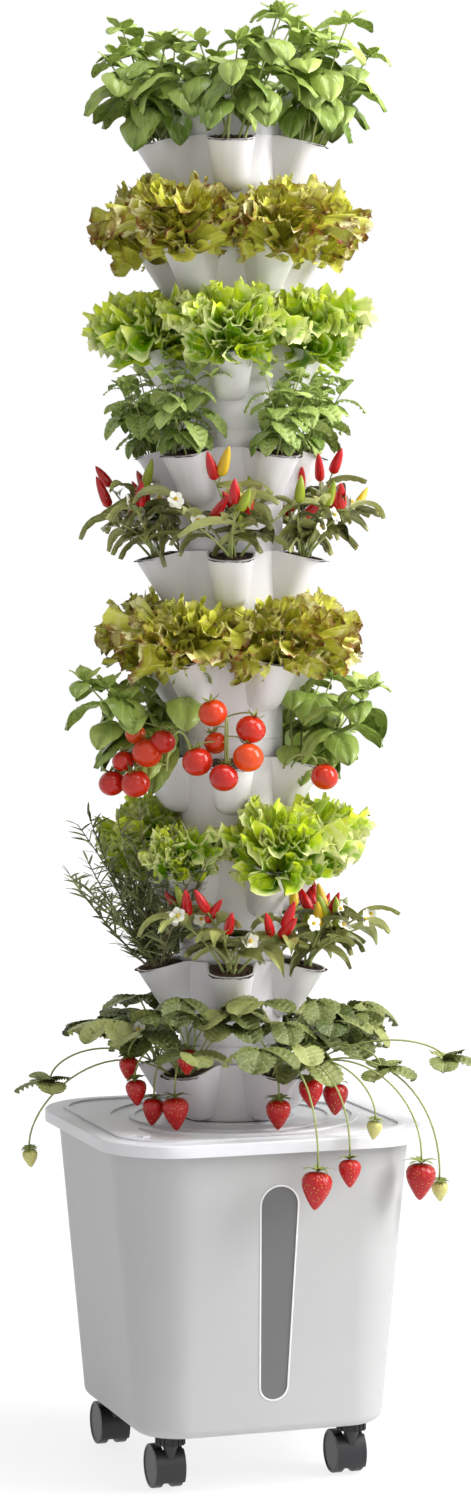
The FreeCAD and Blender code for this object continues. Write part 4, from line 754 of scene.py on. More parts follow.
def pepper_plant(rng, tier, pocket):
    """Twigs with drooping lance leaves, upright pods and white flowers for one pocket."""
    look, twigs, steps = PEPPER, PEPPER["twigs"], PEPPER["steps"]
    way = pocket_heading(tier, pocket)
    roots = soil_spots(rng, tier, pocket, twigs, look["root_spread"])
    heading = even_ways(rng, way, twigs, look["turn_spread"], look["outward"])
    climb = np.radians(rng.uniform(*look["climb"], twigs))
    fall = climb - np.radians(rng.uniform(*look["bow"], twigs))
    tall = look["height"] * rng.uniform(*look["tall"], twigs)
    paths = rib(roots, heading, climb, fall, tall, steps)[0]
    levels = np.linspace(look["lowest_leaf"], steps, look["per_twig"]).round().astype(int)
    base = paths[:, levels].reshape(-1, 3)
    count = len(base)
    turn = any_way(rng, way, count, look["leaf_outward"])
    length = clear_of_column(base, turn, look["leaf"] * rng.uniform(*look["leaf_size"], count))
    # Each blade is folded up along its rib
    relief = (domed(LANCE, look["across"], look["cup"], look["puff"], look["veins"])
              + look["fold"] * np.abs(np.linspace(-1, 1, look["across"])))
    relief = np.broadcast_to(relief, (count, len(LANCE), look["across"]))
    leaf = blades(base, turn, np.radians(rng.uniform(*look["leaf_climb"], count)),
                  np.radians(rng.uniform(*look["leaf_fall"], count)), length,
                  look["half"] * rng.uniform(*look["half_size"], count), LANCE, relief,
                  rng.uniform(-look["roll"], look["roll"], count), rng.uniform(0, 1, count))
    # Pods stand on short stalks above the leaves
    pods = PODS["count"]
    stand = paths[rng.integers(0, twigs, pods), rng.integers(PODS["lowest"], steps + 1, pods)]
    lean = rng.uniform(-PODS["lean"], PODS["lean"], (pods, 2))
    axis = unit(np.stack([lean[:, 0] + PODS["outward"] * math.cos(way),
                          lean[:, 1] + PODS["outward"] * math.sin(way), np.ones(pods)], axis=1))
    foot = stand + axis * rng.uniform(*PODS["stalk"], (pods, 1)) * MM
    stalk = shares(5) * (foot - stand)[:, None] + stand[:, None]
    long = rng.uniform(*PODS["long"], (pods, 1)) * MM
    girth = rng.uniform(*PODS["girth"], (pods, 1)) * MM
    profile = np.stack([POD_SHARE * long, POD_GIRTH * girth], axis=-1)
    tone = each(rng.choice(PODS["tones"], pods, p=PODS["chances"]))
    fruit = turned(foot, axis, profile, tone=tone)
    crown = turned(foot - axis * PODS["crown_back"], axis, POD_CROWN)
    # Flowers: five petals round a yellow heart, facing out from the tower
    blooms = BLOOMS["count"]
    out = np.array([math.cos(way), math.sin(way), 0.0])
    spot = (paths[rng.integers(0, twigs, blooms), -1]
            + out * rng.uniform(*BLOOMS["out"], (blooms, 1)) * MM
            + UP * rng.uniform(*BLOOMS["up"], (blooms, 1)) * MM)
    face = about(rng, out, BLOOMS["turn"], (blooms, 3)) + UP * BLOOMS["upward"]
    petals = star(rng, spot, face, BLOOMS["length"], BLOOMS["half"], BLOOMS["petals"], PETAL,
                  BLOOMS["rise"], BLOOMS["curl"])
    sticks = [thinning_tubes(paths, look["foot"], look["tip"]),
              even_tubes(stalk, PODS["stalk_radius"])]
    return leaf, sticks, fruit, crown, petals, turned(spot, face, PEPPER_HEART)


def pepper_tier(tier, pockets, name):
    """Chili plants in some pockets of a tier."""
    rng = np.random.default_rng(tier)
    leaves, sticks, fruit, crowns, petals, hearts = zip(*(pepper_plant(rng, tier, pocket)
                                                          for pocket in pockets))
    for part, patches, material, nodes in (
            ("leaves", [gather(leaves)], pepper_leaf, [PLANT_NODES[tier]]),
            ("stems", sum(sticks, []) + [gather(crowns)], stem_green, ()),
            ("pods", [gather(fruit)], pepper_skin, ()),
            ("petals", [gather(petals)], petal_white, ()),
            ("stamens", [gather(hearts)], pollen_yellow, ())):
        dress(f"{name}_{part}", patches, material, tier, nodes)


# Rosemary: its twigs, and the rows of needles from lowest up. Foot and tip are radii, and a needle
# stands droop radians lower at its end and is shorter by loss at the twig's tip.
ROSEMARY = dict(twigs=22, steps=24, rows=46, root_spread=0.6, outward=0.6, climb=(40, 82),
                bow=(-18, 22), long=(95, 205), foot=1.5 * MM, tip=0.6 * MM, lowest=0.12,
                rise=(18, 62), droop=0.35, needle=(24, 36), full=1.05, loss=0.4,
                half=1.4 * MM, rolled=0.3)


def rosemary(tier, seed, pockets, name):
    """Arching twigs, each set all round with needles that point forwards."""
    look, twigs, steps = ROSEMARY, ROSEMARY["twigs"], ROSEMARY["steps"]
    rng = np.random.default_rng(seed)
    needles, sticks = [], []
    for pocket in pockets:
        way = pocket_heading(tier, pocket)
        roots = soil_spots(rng, tier, pocket, twigs, look["root_spread"])
        heading = any_way(rng, way, twigs, look["outward"])
        climb = np.radians(rng.uniform(*look["climb"], twigs))
        fall = climb - np.radians(rng.uniform(*look["bow"], twigs))
        paths = rib(roots, heading, climb, fall, rng.uniform(*look["long"], twigs) * MM, steps)[0]
        sticks.append(thinning_tubes(paths, look["foot"], look["tip"]))
        share = np.linspace(look["lowest"], 1.0, look["rows"])
        base = paths[:, (share * steps).astype(int)].reshape(-1, 3)
        count = len(base)
        turn = rng.uniform(0, FULL_TURN, count)
        rise = np.radians(rng.uniform(*look["rise"], count))
        size = (rng.uniform(*look["needle"], count) * MM
                * np.tile(look["full"] - look["loss"] * share, twigs))
        size = clear_of_column(base, turn, size)
        relief = -look["rolled"] * np.linspace(-1, 1, 3) ** 2
        relief = np.broadcast_to(relief, (count, len(NEEDLE), 3))
        half = np.full(count, look["half"])
        needles.append(blades(base, turn, rise, rise - look["droop"], size, half, NEEDLE, relief,
                              rng.uniform(-1, 1, count), rng.uniform(0, 1, count)))
    dress(f"{name}_needles", [gather(needles)], rosemary_needle, tier)
    dress(f"{name}_twigs", [gather(sticks)], rosemary_bark, tier)


# The photograph's viewpoint is this far round to the left of the front
CAMERA_AZIMUTH = 18.5
CAMERA_TURN = math.radians(CAMERA_AZIMUTH)
RIGHT = np.array([math.cos(CAMERA_TURN), -math.sin(CAMERA_TURN), 0.0])
TOWARD = np.array([-math.sin(CAMERA_TURN), -math.cos(CAMERA_TURN), 0.0])

# Tomatoes: places on the three trusses, in millimetres to the camera's right of the axis, towards
# the camera, and over the rim of their tier. The first place is the top of the truss's stem, and
# each fruit's place is followed by its radius.
TRUSSES = [
    ((-6, 138, 66), [(-20, 140, 54, 16), (22, 142, 36, 16.5), (-37, 142, 0, 17), (19, 150, 5, 17),
                     (-8, 154, -17, 16), (-17, 127, 20, 13)]),
    ((-72, 98, 44), [(-94, 98, 7, 17), (-76, 102, 20, 14), (-107, 98, -27, 16.5),
                     (-134, 80, -28, 15), (-121, 84, -3, 12.5), (-107, 78, 27, 12)]),
    ((96, 88, 8), [(105, 90, -20, 15.5)]),
]
# A fruit's shape as shares of its radius, how far it tips, its stalks, and its calyx. A truss's
# stem starts at root_share of its reach, and fruit joins it from the point first_joint on.
TOMATO = dict(sides=24, rows=13, pole=2, squat=0.93, plump=1.02, tip=0.35, top=0.9, below=14,
              root_share=0.62, root_up=8, peak_up=6, stem_steps=26, stem_radius=1.6 * MM,
              joint_under=7 * MM, sideways=0.3, first_joint=8, joint_up=3, stalk_up=9,
              stalk_steps=9, stalk_radius=0.9 * MM, calyx=14 * MM, calyx_half=2.0 * MM,
              calyx_points=6, calyx_rise=0.0, calyx_curl=1.0)


def seen_from_front(right, toward, height):
    """A point given as the camera sees it: right of the axis, towards the camera, and up."""
    return RIGHT * right * MM + TOWARD * toward * MM + UP * height


def tomatoes(tier, seed, name):
    """Trusses of round fruit on arching stems, each fruit on a stalk with a star of a calyx."""
    look = TOMATO
    rng = np.random.default_rng(seed)
    rim = tier_base(tier) + RIM
    fruit, sticks, stars = [], [], []
    for (right, toward, high), places in TRUSSES:
        places = np.array(places, dtype=float)
        centres = np.array([seen_from_front(x, y, rim + z * MM) for x, y, z, _ in places])
        radius = places[:, 3:] * MM
        angle = np.radians(np.linspace(look["pole"], 180 - look["pole"], look["rows"]))
        axis = unit(about(rng, UP, look["tip"], (len(places), 3)))
        profile = np.stack([-look["squat"] * np.cos(angle) * radius,
                            np.sin(angle) * radius * look["plump"]], axis=-1)
        tone = each(rng.uniform(0, 1, len(places)))
        fruit.append(turned(centres, axis, profile, look["sides"], tone))
        top = centres + axis * look["top"] * radius
        peak = seen_from_front(right, toward, rim + high * MM)
        foot = seen_from_front(right, toward, rim + (places[:, 2].min() + look["below"]) * MM)
        inner = peak * look["root_share"]
        root = np.array([inner[0], inner[1], tier_base(tier) + SOIL])
        main = bezier([root[None], root[None] + UP * (high + look["root_up"]) * MM,
                       peak[None] + UP * look["peak_up"] * MM, foot[None]], look["stem_steps"])
        sticks.append(even_tubes(main, look["stem_radius"]))
        line = main[0, look["first_joint"]:]
        gap = ((line[:, 2] - top[:, 2:] - look["joint_under"]) ** 2
               + look["sideways"] * (line[:, 0] - top[:, :1]) ** 2)
        joint = line[gap.argmin(axis=1)]
        stalk = bezier([joint, joint + UP * look["joint_up"] * MM,
                        top + UP * look["stalk_up"] * MM, top], look["stalk_steps"])
        sticks.append(even_tubes(stalk, look["stalk_radius"]))
        stars.append(star(rng, top, axis, look["calyx"], look["calyx_half"], look["calyx_points"],
                          LANCE, look["calyx_rise"], look["calyx_curl"]))
    dress(f"{name}_fruit", [gather(fruit)], tomato_skin, tier)
    dress(f"{name}_stalks", sticks, stem_green, tier)
    dress(f"{name}_calyxes", [gather(stars)], calyx_green, tier)


# Strawberries: what hangs from the two front pockets, as degrees from the pocket's heading,
# millimetres from the axis, over the rim where it hangs, and over the rim where its stem peaks,
# its kind, and a fruit's size as a share of 25 mm across
HANGING = {
    4: [(-41, 211, -22, -8, "leaf", 1), (-38, 238, -95, -58, "green", 0.7),
        (-16, 146, 13, 22, "ripe", 0.88), (-7, 157, -9, 7, "ripe", 0.95),
        (-6, 154, 46, 50, "flower", 1), (-1, 143, -30, 7, "ripe", 1.0),
        (10, 143, -27, 7, "ripe", 1.2), (15, 136, 27, 34, "ripe", 0.95)],
    0: [(-13, 136, -30, 7, "ripe", 1.12), (-10, 218, -99, -12, "ripe", 1.36),
        (-2, 150, 32, 40, "ripe", 0.88), (0, 223, -88, -12, "ripe", 1.0),
        (3, 141, -9, 7, "ripe", 1.1), (8, 230, -47, -20, "green", 0.7),
        (17, 148, -17, 7, "ripe", 1.15), (24, 246, -102, -34, "ripe", 1.34),
        (31, 184, -4, 4, "leaf", 1), (33, 252, -128, -30, "green", 0.76),
        (42, 248, 4, 7, "leaf", 1)],
}
BERRY_PROFILE = np.array([(-1.0, 0.03), (-0.97, 0.15), (-0.87, 0.36), (-0.72, 0.6), (-0.55, 0.83),
                          (-0.38, 0.98), (-0.22, 1.0), (-0.1, 0.86), (-0.03, 0.62), (0.0, 0.30)])
BERRY_SIZE = np.array([31 * MM, 12.6 * MM])
BERRY = dict(sides=20, tip=0.12, unripe=0.2, ripe=(0.72, 1.0), calyx=17 * MM, calyx_half=3.4 * MM,
             calyx_points=9, calyx_rise=0.7, calyx_curl=-0.5)
BLOSSOM = dict(length=11 * MM, half=5.6 * MM, petals=5, rise=0.4, curl=0.1)
BLOSSOM_HEART = np.array([(0, 2.2), (1.5, 3.6), (3.0, 2.6), (3.6, 0.6)]) * MM
# The leaf stalks of a crown, and the stems of what hangs: root spacing in degrees, root reach, and
# where the two corners of the stem's curve lie against its end and its peak
CROWN = dict(stalks=11, steps=14, root_spread=0.45, turn_spread=0.2, outward=0.62, climb=(52, 84),
             bow=(30, 66), long=(62, 118), radius=1.1 * MM, leaflet=(42, 54), least_size=0.8,
             leaflet_climb=(-12, 25), leaflet_fall=(-70, -25))
RUNNER = dict(spacing=2.0, root_reach=97 * MM, arch_share=0.62, arch_up=44, bend_out=6, bend_up=16,
              steps=22)
# Leaves at a runner's end: turn against it in radians, length in millimetres, climb and fall
RUNNER_LEAVES = [(0.0, 44, 14.0, -40.0), (0.9, 30, 40.0, -10.0)]
# A leaflet's turn from the middle one in radians, and its share of the size; then its form
TREFOIL = ((0, 1.0), (1.45, 0.92), (-1.45, 0.92))
LEAFLET_FORM = dict(across=9, cup=0.04, puff=0.12, veins=7, fold=0.14, half=0.44, roll=0.25,
                    tone=(0.1, 1), teeth=8, tooth=0.17)


def trefoil(rng, base, heading, size, climb, fall):
    """Three toothed leaflets that share one point, the middle one straight ahead."""
    look, count = LEAFLET_FORM, len(base)
    relief = (domed(LEAFLET, look["across"], look["cup"], look["puff"], look["veins"])
              + look["fold"] * np.abs(np.linspace(-1, 1, look["across"])))
    relief = np.broadcast_to(relief, (count, len(LEAFLET), look["across"]))
    return gather([toothed(blades(base, heading + off, climb, fall, size * share,
                                  size * share * look["half"], LEAFLET, relief,
                                  rng.uniform(-look["roll"], look["roll"], count),
                                  rng.uniform(*look["tone"], count)), look["teeth"], look["tooth"])
                   for off, share in TREFOIL])


def strawberries(tier, seed, name):
    """Crowns of leaves in every pocket, and fruit, a blossom and runners from the front two."""
    rng = np.random.default_rng(seed)
    rim = tier_base(tier) + RIM
    leaves, sticks, berries, stars, petals, hearts = [], [], [], [], [], []
    for pocket in range(POCKETS):
        count = CROWN["stalks"]
        roots = soil_spots(rng, tier, pocket, count, CROWN["root_spread"])
        heading = even_ways(rng, pocket_heading(tier, pocket), count, CROWN["turn_spread"],
                            CROWN["outward"])
        climb = np.radians(rng.uniform(*CROWN["climb"], count))
        fall = climb - np.radians(rng.uniform(*CROWN["bow"], count))
        paths = rib(roots, heading, climb, fall, rng.uniform(*CROWN["long"], count) * MM,
                    CROWN["steps"])[0]
        sticks.append(even_tubes(paths, CROWN["radius"]))
        size = clear_of_column(paths[:, -1], heading, rng.uniform(*CROWN["leaflet"], count) * MM,
                               CROWN["least_size"])
        leaves.append(trefoil(rng, paths[:, -1], heading, size,
                              np.radians(rng.uniform(*CROWN["leaflet_climb"], count)),
                              np.radians(rng.uniform(*CROWN["leaflet_fall"], count))))
    for pocket, ends in HANGING.items():
        way = pocket_heading(tier, pocket)
        for place, (turn, reach, height, peak, kind, scale) in enumerate(ends):
            away = way + math.radians(turn)
            end = compass(away, reach * MM, rim + height * MM)[None]
            root_way = way + math.radians(RUNNER["spacing"] * (place - (len(ends) - 1) / 2))
            root = compass(root_way, RUNNER["root_reach"], tier_base(tier) + SOIL)[None]
            arch = compass(away, reach * RUNNER["arch_share"] * MM,
                           rim + (max(peak, 0) + RUNNER["arch_up"]) * MM)[None]
            bend = compass(away, (reach + RUNNER["bend_out"]) * MM,
                           rim + (peak + RUNNER["bend_up"]) * MM)[None]
            stem = bezier([root, arch, bend, end], RUNNER["steps"])
            sticks.append(even_tubes(stem, CROWN["radius"]))
            if kind == "leaf":
                for off, long, climb, fall in RUNNER_LEAVES:
                    leaves.append(trefoil(rng, end, np.array([away + off]), np.array([long * MM]),
                                          np.radians([climb]), np.radians([fall])))
            elif kind == "flower":
                face = compass(away, 1.0, 0.5)[None]
                petals.append(star(rng, end, face, BLOSSOM["length"], BLOSSOM["half"],
                                   BLOSSOM["petals"], PETAL, BLOSSOM["rise"], BLOSSOM["curl"]))
                hearts.append(turned(end, face, BLOSSOM_HEART))
            else:
                tip = BERRY["tip"]
                axis = np.array([[rng.uniform(-tip, tip), rng.uniform(-tip, tip), 1.0]])
                ripe = BERRY["unripe"] if kind == "green" else rng.uniform(*BERRY["ripe"])
                berries.append(turned(end, axis, (BERRY_PROFILE * BERRY_SIZE * scale)[None],
                                      BERRY["sides"], each([ripe])))
                stars.append(star(rng, end, axis, BERRY["calyx"] * scale, BERRY["calyx_half"],
                                  BERRY["calyx_points"], LANCE, BERRY["calyx_rise"],
                                  BERRY["calyx_curl"]))
    for part, patches, material, nodes in (
            ("leaves", [gather(leaves)], strawberry_leaf, [PLANT_NODES[tier]]),
            ("runners", sticks, stem_green, ()),
            ("fruit", [gather(berries)], strawberry_skin, ()),
            ("calyxes", [gather(stars)], calyx_green, ()),
            ("petals", petals, petal_white, ()),
            ("stamens", hearts, pollen_yellow, ())):
        dress(f"{name}_{part}", patches, material, tier, nodes)


# Growing medium. Its sheet covers a pocket in rows from near to far and columns across. It reaches
# half to either side, and less at both ends, by a power of the distance from its middle. It is
# heaped up to HEAP high beside the column, from HEAP_END inwards. Lumps are turned from shares of
# their size.
SHEET = dict(near=61 * MM, far=113 * MM, rows=14, columns=12, half=26 * MM, middle=86 * MM,
             half_length=29 * MM, power=4, narrowest=0.05, uneven=0.8 * MM, over=0.6 * MM)
HEAP = 11 * MM
HEAP_END = 112 * MM
HEAP_RUN = 50 * MM
CRUMB = dict(per_pocket=76, spread=1.3, tumble=0.5, size=(1.2, 3.2), sides=5)
CRUMB_PROFILE = np.array([(-1.0, 0.3), (-0.6, 0.95), (0.5, 0.85), (1.0, 0.2)])


def soil_heap(reach):
    """How far the growing medium is heaped over its level: highest beside the column."""
    return HEAP * np.clip((HEAP_END - reach) / HEAP_RUN, 0, 1)


def crumbs(tier, seed):
    """Growing medium heaped in each pocket, and strewn with faceted lumps half sunk in it."""
    rng = np.random.default_rng(seed)
    ways = each([pocket_heading(tier, pocket) for pocket in range(POCKETS)])
    rows, columns = SHEET["rows"], SHEET["columns"]
    reach = np.linspace(SHEET["near"], SHEET["far"], rows)[None, :, None]
    narrowing = ((reach - SHEET["middle"]) / SHEET["half_length"]) ** SHEET["power"]
    half = SHEET["half"] * np.clip(1 - narrowing, SHEET["narrowest"], 1) ** 0.5
    aside = half * np.linspace(-1, 1, columns)[None, None]
    rough = rng.uniform(-SHEET["uneven"], SHEET["uneven"], (POCKETS, rows, columns))
    heap = compass(ways, reach, tier_base(tier) + SOIL + SHEET["over"] + soil_heap(reach) + rough)
    heap = heap + aside[..., None] * np.stack([-np.sin(ways), np.cos(ways), 0 * ways], axis=-1)
    spots = np.concatenate([soil_spots(rng, tier, pocket, CRUMB["per_pocket"], CRUMB["spread"])
                            for pocket in range(POCKETS)])
    spots[:, 2] += soil_heap(np.linalg.norm(spots[:, :2], axis=1))
    count = len(spots)
    axis = rng.normal(size=(count, 3)) * CRUMB["tumble"] + UP
    profile = CRUMB_PROFILE * rng.uniform(*CRUMB["size"], (count, 1, 1)) * MM
    dress(f"potting_crumbs_{tier:02d}",
          [(heap, False, {}), turned(spots, axis, profile, CRUMB["sides"])],
          potting_mix, tier)


# Living surfaces: young, grown, vein and margin colours, where the margin's colour starts, steps
# of the veins, roughness, strength of the veins, size of blisters, and flecks on the margin, which
# are partly painted highlights

# Sweet basil is smooth and domed: a broad soft light on each leaf, and a pale midrib
basil_leaf = leaf_material("basil_leaf", "#c0d470", "#5c7a22", "#cddc8e", "#6f8a32", 1.0, 5, 0.3,
                           0.28)
# Mint is deeply veined: a mid green broken up by a pale net, partly the veins' own paler green and
# partly painted highlights along them
mint_leaf = leaf_material("mint_leaf", "#cfe284", "#6c8c2c", "#e2ecb4", "#7c9238", 1.0, 7, 0.34,
                          0.42)
# Leaf lettuce is thin, moist and blistered: bright yellow-green, with cream along the frills that
# is partly the pale margin and partly a painted highlight
green_lettuce_leaf = leaf_material("green_lettuce_leaf", "#e8f83c", "#78ae00", "#eef6a0",
                                   "#faffb8", 0.95, 5, 0.28, 0.4, 4.5)
# Red-edged lettuce: the same leaf in olive yellow, its frills brown with cream flecks that are
# partly the leaf's own pale patches and partly painted highlights
bronze_lettuce_leaf = leaf_material("bronze_lettuce_leaf", "#eef068", "#bab832", "#f0eca4",
                                    "#87492a", 0.95, 5, 0.28, 0.4, 5.0, "#f6efb2")
# Chili leaves: narrow, dark when grown, with a dull sheen; the paler margin near each tip is
# painted edge light
pepper_leaf = leaf_material("pepper_leaf", "#b2b66c", "#363e16", "#dedca6", "#a8a46a", 1.0, 5,
                            0.3, 0.3)
# Strawberry leaves are stiff and matt, and their straight side veins look pleated
strawberry_leaf = leaf_material("strawberry_leaf", "#aeb46c", "#4c5a26", "#c0c690", "#66703a",
                                1.0, 8, 0.4, 0.35, 3.5)
# Rosemary needles: a dull grey-green with a pale line down the middle
rosemary_needle = leaf_material("rosemary_needle", "#aab276", "#546036", "#c2c69a", "#6c7648",
                                1.0, 1, 0.5, 0.3)
# Soft stems: matt and pale green
stem_green = leaf_material("herb_stem", "#b4bd74", "#7d8a44", "#bcc488", "#8f9a58", 0.98, 1, 0.5,
                           0.1)
# The small leaves on a fruit: darker and duller than the stems
calyx_green = leaf_material("fruit_calyx", "#8f9a4c", "#566428", "#aab468", "#66742f", 0.95, 1,
                            0.5, 0.2)
# Young bark: rough, matt and grey-brown
rosemary_bark = moulded_plastic("rosemary_bark", "#8c8464", "#6f6a4a", 0.8, 0.8, 0.5)

# A strawberry's seeds, as shares of their spacing: where a seed ends and where its pit runs out
SEED_COLOUR = "#e8c860"
SEED_EDGE = (0.12, 0.2)
PIT_EDGE = (0.1, 0.5)
PIT_DEPTH = 0.5 * MM


def fruit_skin(name, stops, roughness, seed_mm=None):
    """Waxy fruit skin: its colour runs through stops as it ripens, and it has a clear gloss.

    A strawberry's seeds sit in pits, one every few millimetres, so they are cells of a Voronoi
    pattern laid over the fruit.
    """
    material, tree, shader = new_material(name, Roughness=roughness, IOR=1.4, Coat_Weight=0.15,
                                          Coat_Roughness=0.08)
    tone = add(tree, "ShaderNodeAttribute", attribute_name="tone").outputs["Fac"]
    skin = add(tree, "ShaderNodeValToRGB", {"Fac": tone}, stops=stops)
    if not seed_mm:
        feed(tree, shader, {"Base Color": skin})
        return material
    where = add(tree, "ShaderNodeTexCoord").outputs["Object"]
    cells = add(tree, "ShaderNodeTexVoronoi", {"Vector": where, "Scale": 1 / (seed_mm * MM)})
    seed = add(tree, "ShaderNodeMapRange", {"Value": cells, "From Min": SEED_EDGE[0],
                                            "From Max": SEED_EDGE[1], "To Min": 1.0, "To Max": 0.0})
    pit = add(tree, "ShaderNodeMapRange",
              {"Value": cells, "From Min": PIT_EDGE[0], "From Max": PIT_EDGE[1]})
    mixed = add(tree, "ShaderNodeMix", {"Factor": seed, "A": skin, "B": linear(SEED_COLOUR)},
                data_type="RGBA")
    relief = add(tree, "ShaderNodeBump", {"Height": pit, "Strength": 0.8, "Distance": PIT_DEPTH})
    feed(tree, shader, {"Base Color": mixed.outputs[2], "Normal": relief})
    return material


# Tomato skin is taut and waxy: deep red to orange, with one small sharp light
tomato_skin = fruit_skin("tomato_skin", ((0.0, "#bc1412"), (1.0, "#ec5014")), 0.2)
# Chili pods are waxy too: green, yellow, orange or red, with a long thin light down each
pepper_skin = fruit_skin("pepper_skin", ((0.0, "#8aa82a"), (0.3, "#e0b828"), (0.5, "#e05a1c"),
                                         (0.8, "#c8141a")), 0.18)
# Strawberries: glossy red between pits with pale seeds, and cream-green when unripe
strawberry_skin = fruit_skin("strawberry_skin", ((0.0, "#cfd890"), (0.3, "#ccc070"),
                                                 (0.7, "#c8181a"), (1.0, "#a80e14")),
                             0.3, seed_mm=3.1)
# Petals: a soft white without gloss
petal_white = moulded_plastic("pepper_petal", "#fbfbf4", "#eceadb", 0.6, 0.6, 0.2)
# Stamens: a grainy, matt yellow
pollen_yellow = moulded_plastic("flower_pollen", "#e9c93c", "#c9a52c", 0.8, 0.4, 0.6)
# Damp peat and coir: dark brown, matt and crumbly, in fibres of a millimetre or two
potting_mix = moulded_plastic("potting_mix", "#4a3424", "#251910", 0.95, 1.6, 1.0)

# Polypropylene is satin, with broad soft lights. The tank is grey, and its lid paler and glossier
tank_plastic = moulded_plastic("polypropylene_tank", "#bfc0bf", "#babbba", 0.42, 0.9, 0.25)
lid_plastic = moulded_plastic("polypropylene_lid", "#e6e6ea", "#e1e1e5", 0.35, 0.9, 0.15)
# The tiers are a faintly warm white
tier_plastic = moulded_plastic("polypropylene_tier", "#f4f1f5", "#eeebf0", 0.38, 0.9, 0.15)
# The window's frame is smoother, so its narrow edge catches a bright line
bezel_plastic = moulded_plastic("window_bezel_plastic", "#f2f2f1", "#ececeb", 0.3, 0.9, 0.1)
# The smoked pane shows as one dark grey, with a sharper light than the tank round it
window_plastic = moulded_plastic("smoked_window_plastic", "#6f6f70", "#696969", 0.22, 1.2, 0.1)
# Glass-filled nylon is near black and satin: wheels, then paler hoods and duller sockets
caster_nylon = moulded_plastic("caster_wheel_nylon", "#1d1d1f", "#161618", 0.4, 0.8, 0.2)
hood_nylon = moulded_plastic("caster_hood_nylon", "#2a2a2d", "#222225", 0.36, 0.8, 0.2)
collar_nylon = moulded_plastic("caster_collar_nylon", "#1b1b1d", "#151517", 0.5, 0.8, 0.2)
# Soft rubber: a dull black without a clear light
seal_rubber = moulded_plastic("seal_rubber", "#232324", "#1a1a1b", 0.7, 0.7, 0.4)
# ABS: satin, a dark blue-grey
pump_plastic = moulded_plastic("pump_abs", "#22262b", "#1b1e22", 0.4, 0.8, 0.2)
# PVC pipe: smooth and pale grey
riser_plastic = moulded_plastic("riser_pvc", "#dcdedf", "#d2d4d5", 0.3, 1.0, 0.1)


def drawn_steel(name):
    """Bright drawn steel bar: a mirror softened by draw lines. They are too fine to show, so clouds
    of about 3 mm stand for them."""
    clouds_per_metre = 300.0
    material, tree, shader = new_material(name, Metallic=1.0, Roughness=0.28)
    where = add(tree, "ShaderNodeTexCoord").outputs["Object"]
    cloud = add(tree, "ShaderNodeTexNoise", {"Vector": where, "Scale": clouds_per_metre})
    tint = add(tree, "ShaderNodeValToRGB", {"Fac": cloud},
               stops=((0.35, "#a9aaac"), (0.65, "#b8b9bb")))
    feed(tree, shader, {"Base Color": tint})
    return material


axle_steel = drawn_steel("axle_steel")


# The moulded pieces. Corners this near count as one, and an edge this sharp stays sharp.
SAME_CORNER = 0.002 * MM
CREASE = math.radians(32)

SOLIDS = [
    ("reservoir_tank", tank_plastic, "reservoir", "tank_plastic"),
    ("level_window", window_plastic, "reservoir", "window_plastic"),
    ("window_bezel", bezel_plastic, "reservoir", "bezel_plastic"),
    ("caster_sockets", collar_nylon, "reservoir", "caster_socket_plastic"),
    ("pump_housing", pump_plastic, "reservoir", "pump_plastic"),
    ("pump_intake_screen", pump_plastic, "reservoir", "pump_plastic"),
    ("pump_suction_feet", seal_rubber, "reservoir", "soft_rubber"),
    ("riser_pipe", riser_plastic, "reservoir", "riser_plastic"),
    ("tank_lid", lid_plastic, "lid", "lid_plastic"),
    ("base_gasket", seal_rubber, "lid", "soft_rubber"),
    ("cable_grommet", seal_rubber, "lid", "soft_rubber"),
    ("refill_hatch", lid_plastic, "hatch", "lid_plastic"),
]
for level in TIERS:
    SOLIDS += [(f"planter_tier_{level:02d}", tier_plastic, f"tier_{level:02d}", "tier_plastic"),
               (f"growing_medium_{level:02d}", potting_mix, f"tier_{level:02d}", "growing_medium")]
SOLIDS += [("water_spreader", tier_plastic, "tier_10", "tier_plastic"),
           ("top_cap", tier_plastic, "cap", "tier_plastic")]
for corner in ("front_left", "front_right", "rear_right", "rear_left"):
    SOLIDS += [(f"caster_hood_{corner}", hood_nylon, f"caster_{corner}", "caster_hood_plastic"),
               (f"caster_axle_{corner}", axle_steel, f"caster_{corner}", "axle_steel")]
    SOLIDS += [(f"caster_wheel_{corner}_{side}", caster_nylon, f"wheel_{corner}_{side}",
                "caster_wheel_plastic") for side in ("left", "right")]


def moulded(node, material, body, slot):
    """A solid of the construction made smooth: its triangles joined at shared corners, and left
    sharp only where two faces meet at more than the crease angle."""
    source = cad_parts[node].data
    points = np.empty(len(source.vertices) * 3, dtype=np.float32)
    source.vertices.foreach_get("co", points)
    corners = np.empty(len(source.loops), dtype=np.int32)
    source.loops.foreach_get("vertex_index", corners)
    places = np.round(points.reshape(-1, 3) / SAME_CORNER).astype(np.int64)
    _, keep, same = np.unique(places, axis=0, return_index=True, return_inverse=True)
    triangles = same.reshape(-1)[corners].reshape(-1, 3)
    triangles = triangles[(triangles != np.roll(triangles, 1, axis=1)).all(axis=1)]
    thing = build(f"{node}_moulding", points.reshape(-1, 3)[keep], triangles.reshape(-1),
                  np.arange(len(triangles)) * 3, material)
    thing.data.set_sharp_from_angle(angle=CREASE)
    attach(thing, body)
    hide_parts(node)


for solid in SOLIDS:
    moulded(*solid)
for level in TIERS:
    crumbs(level, 100 + level)

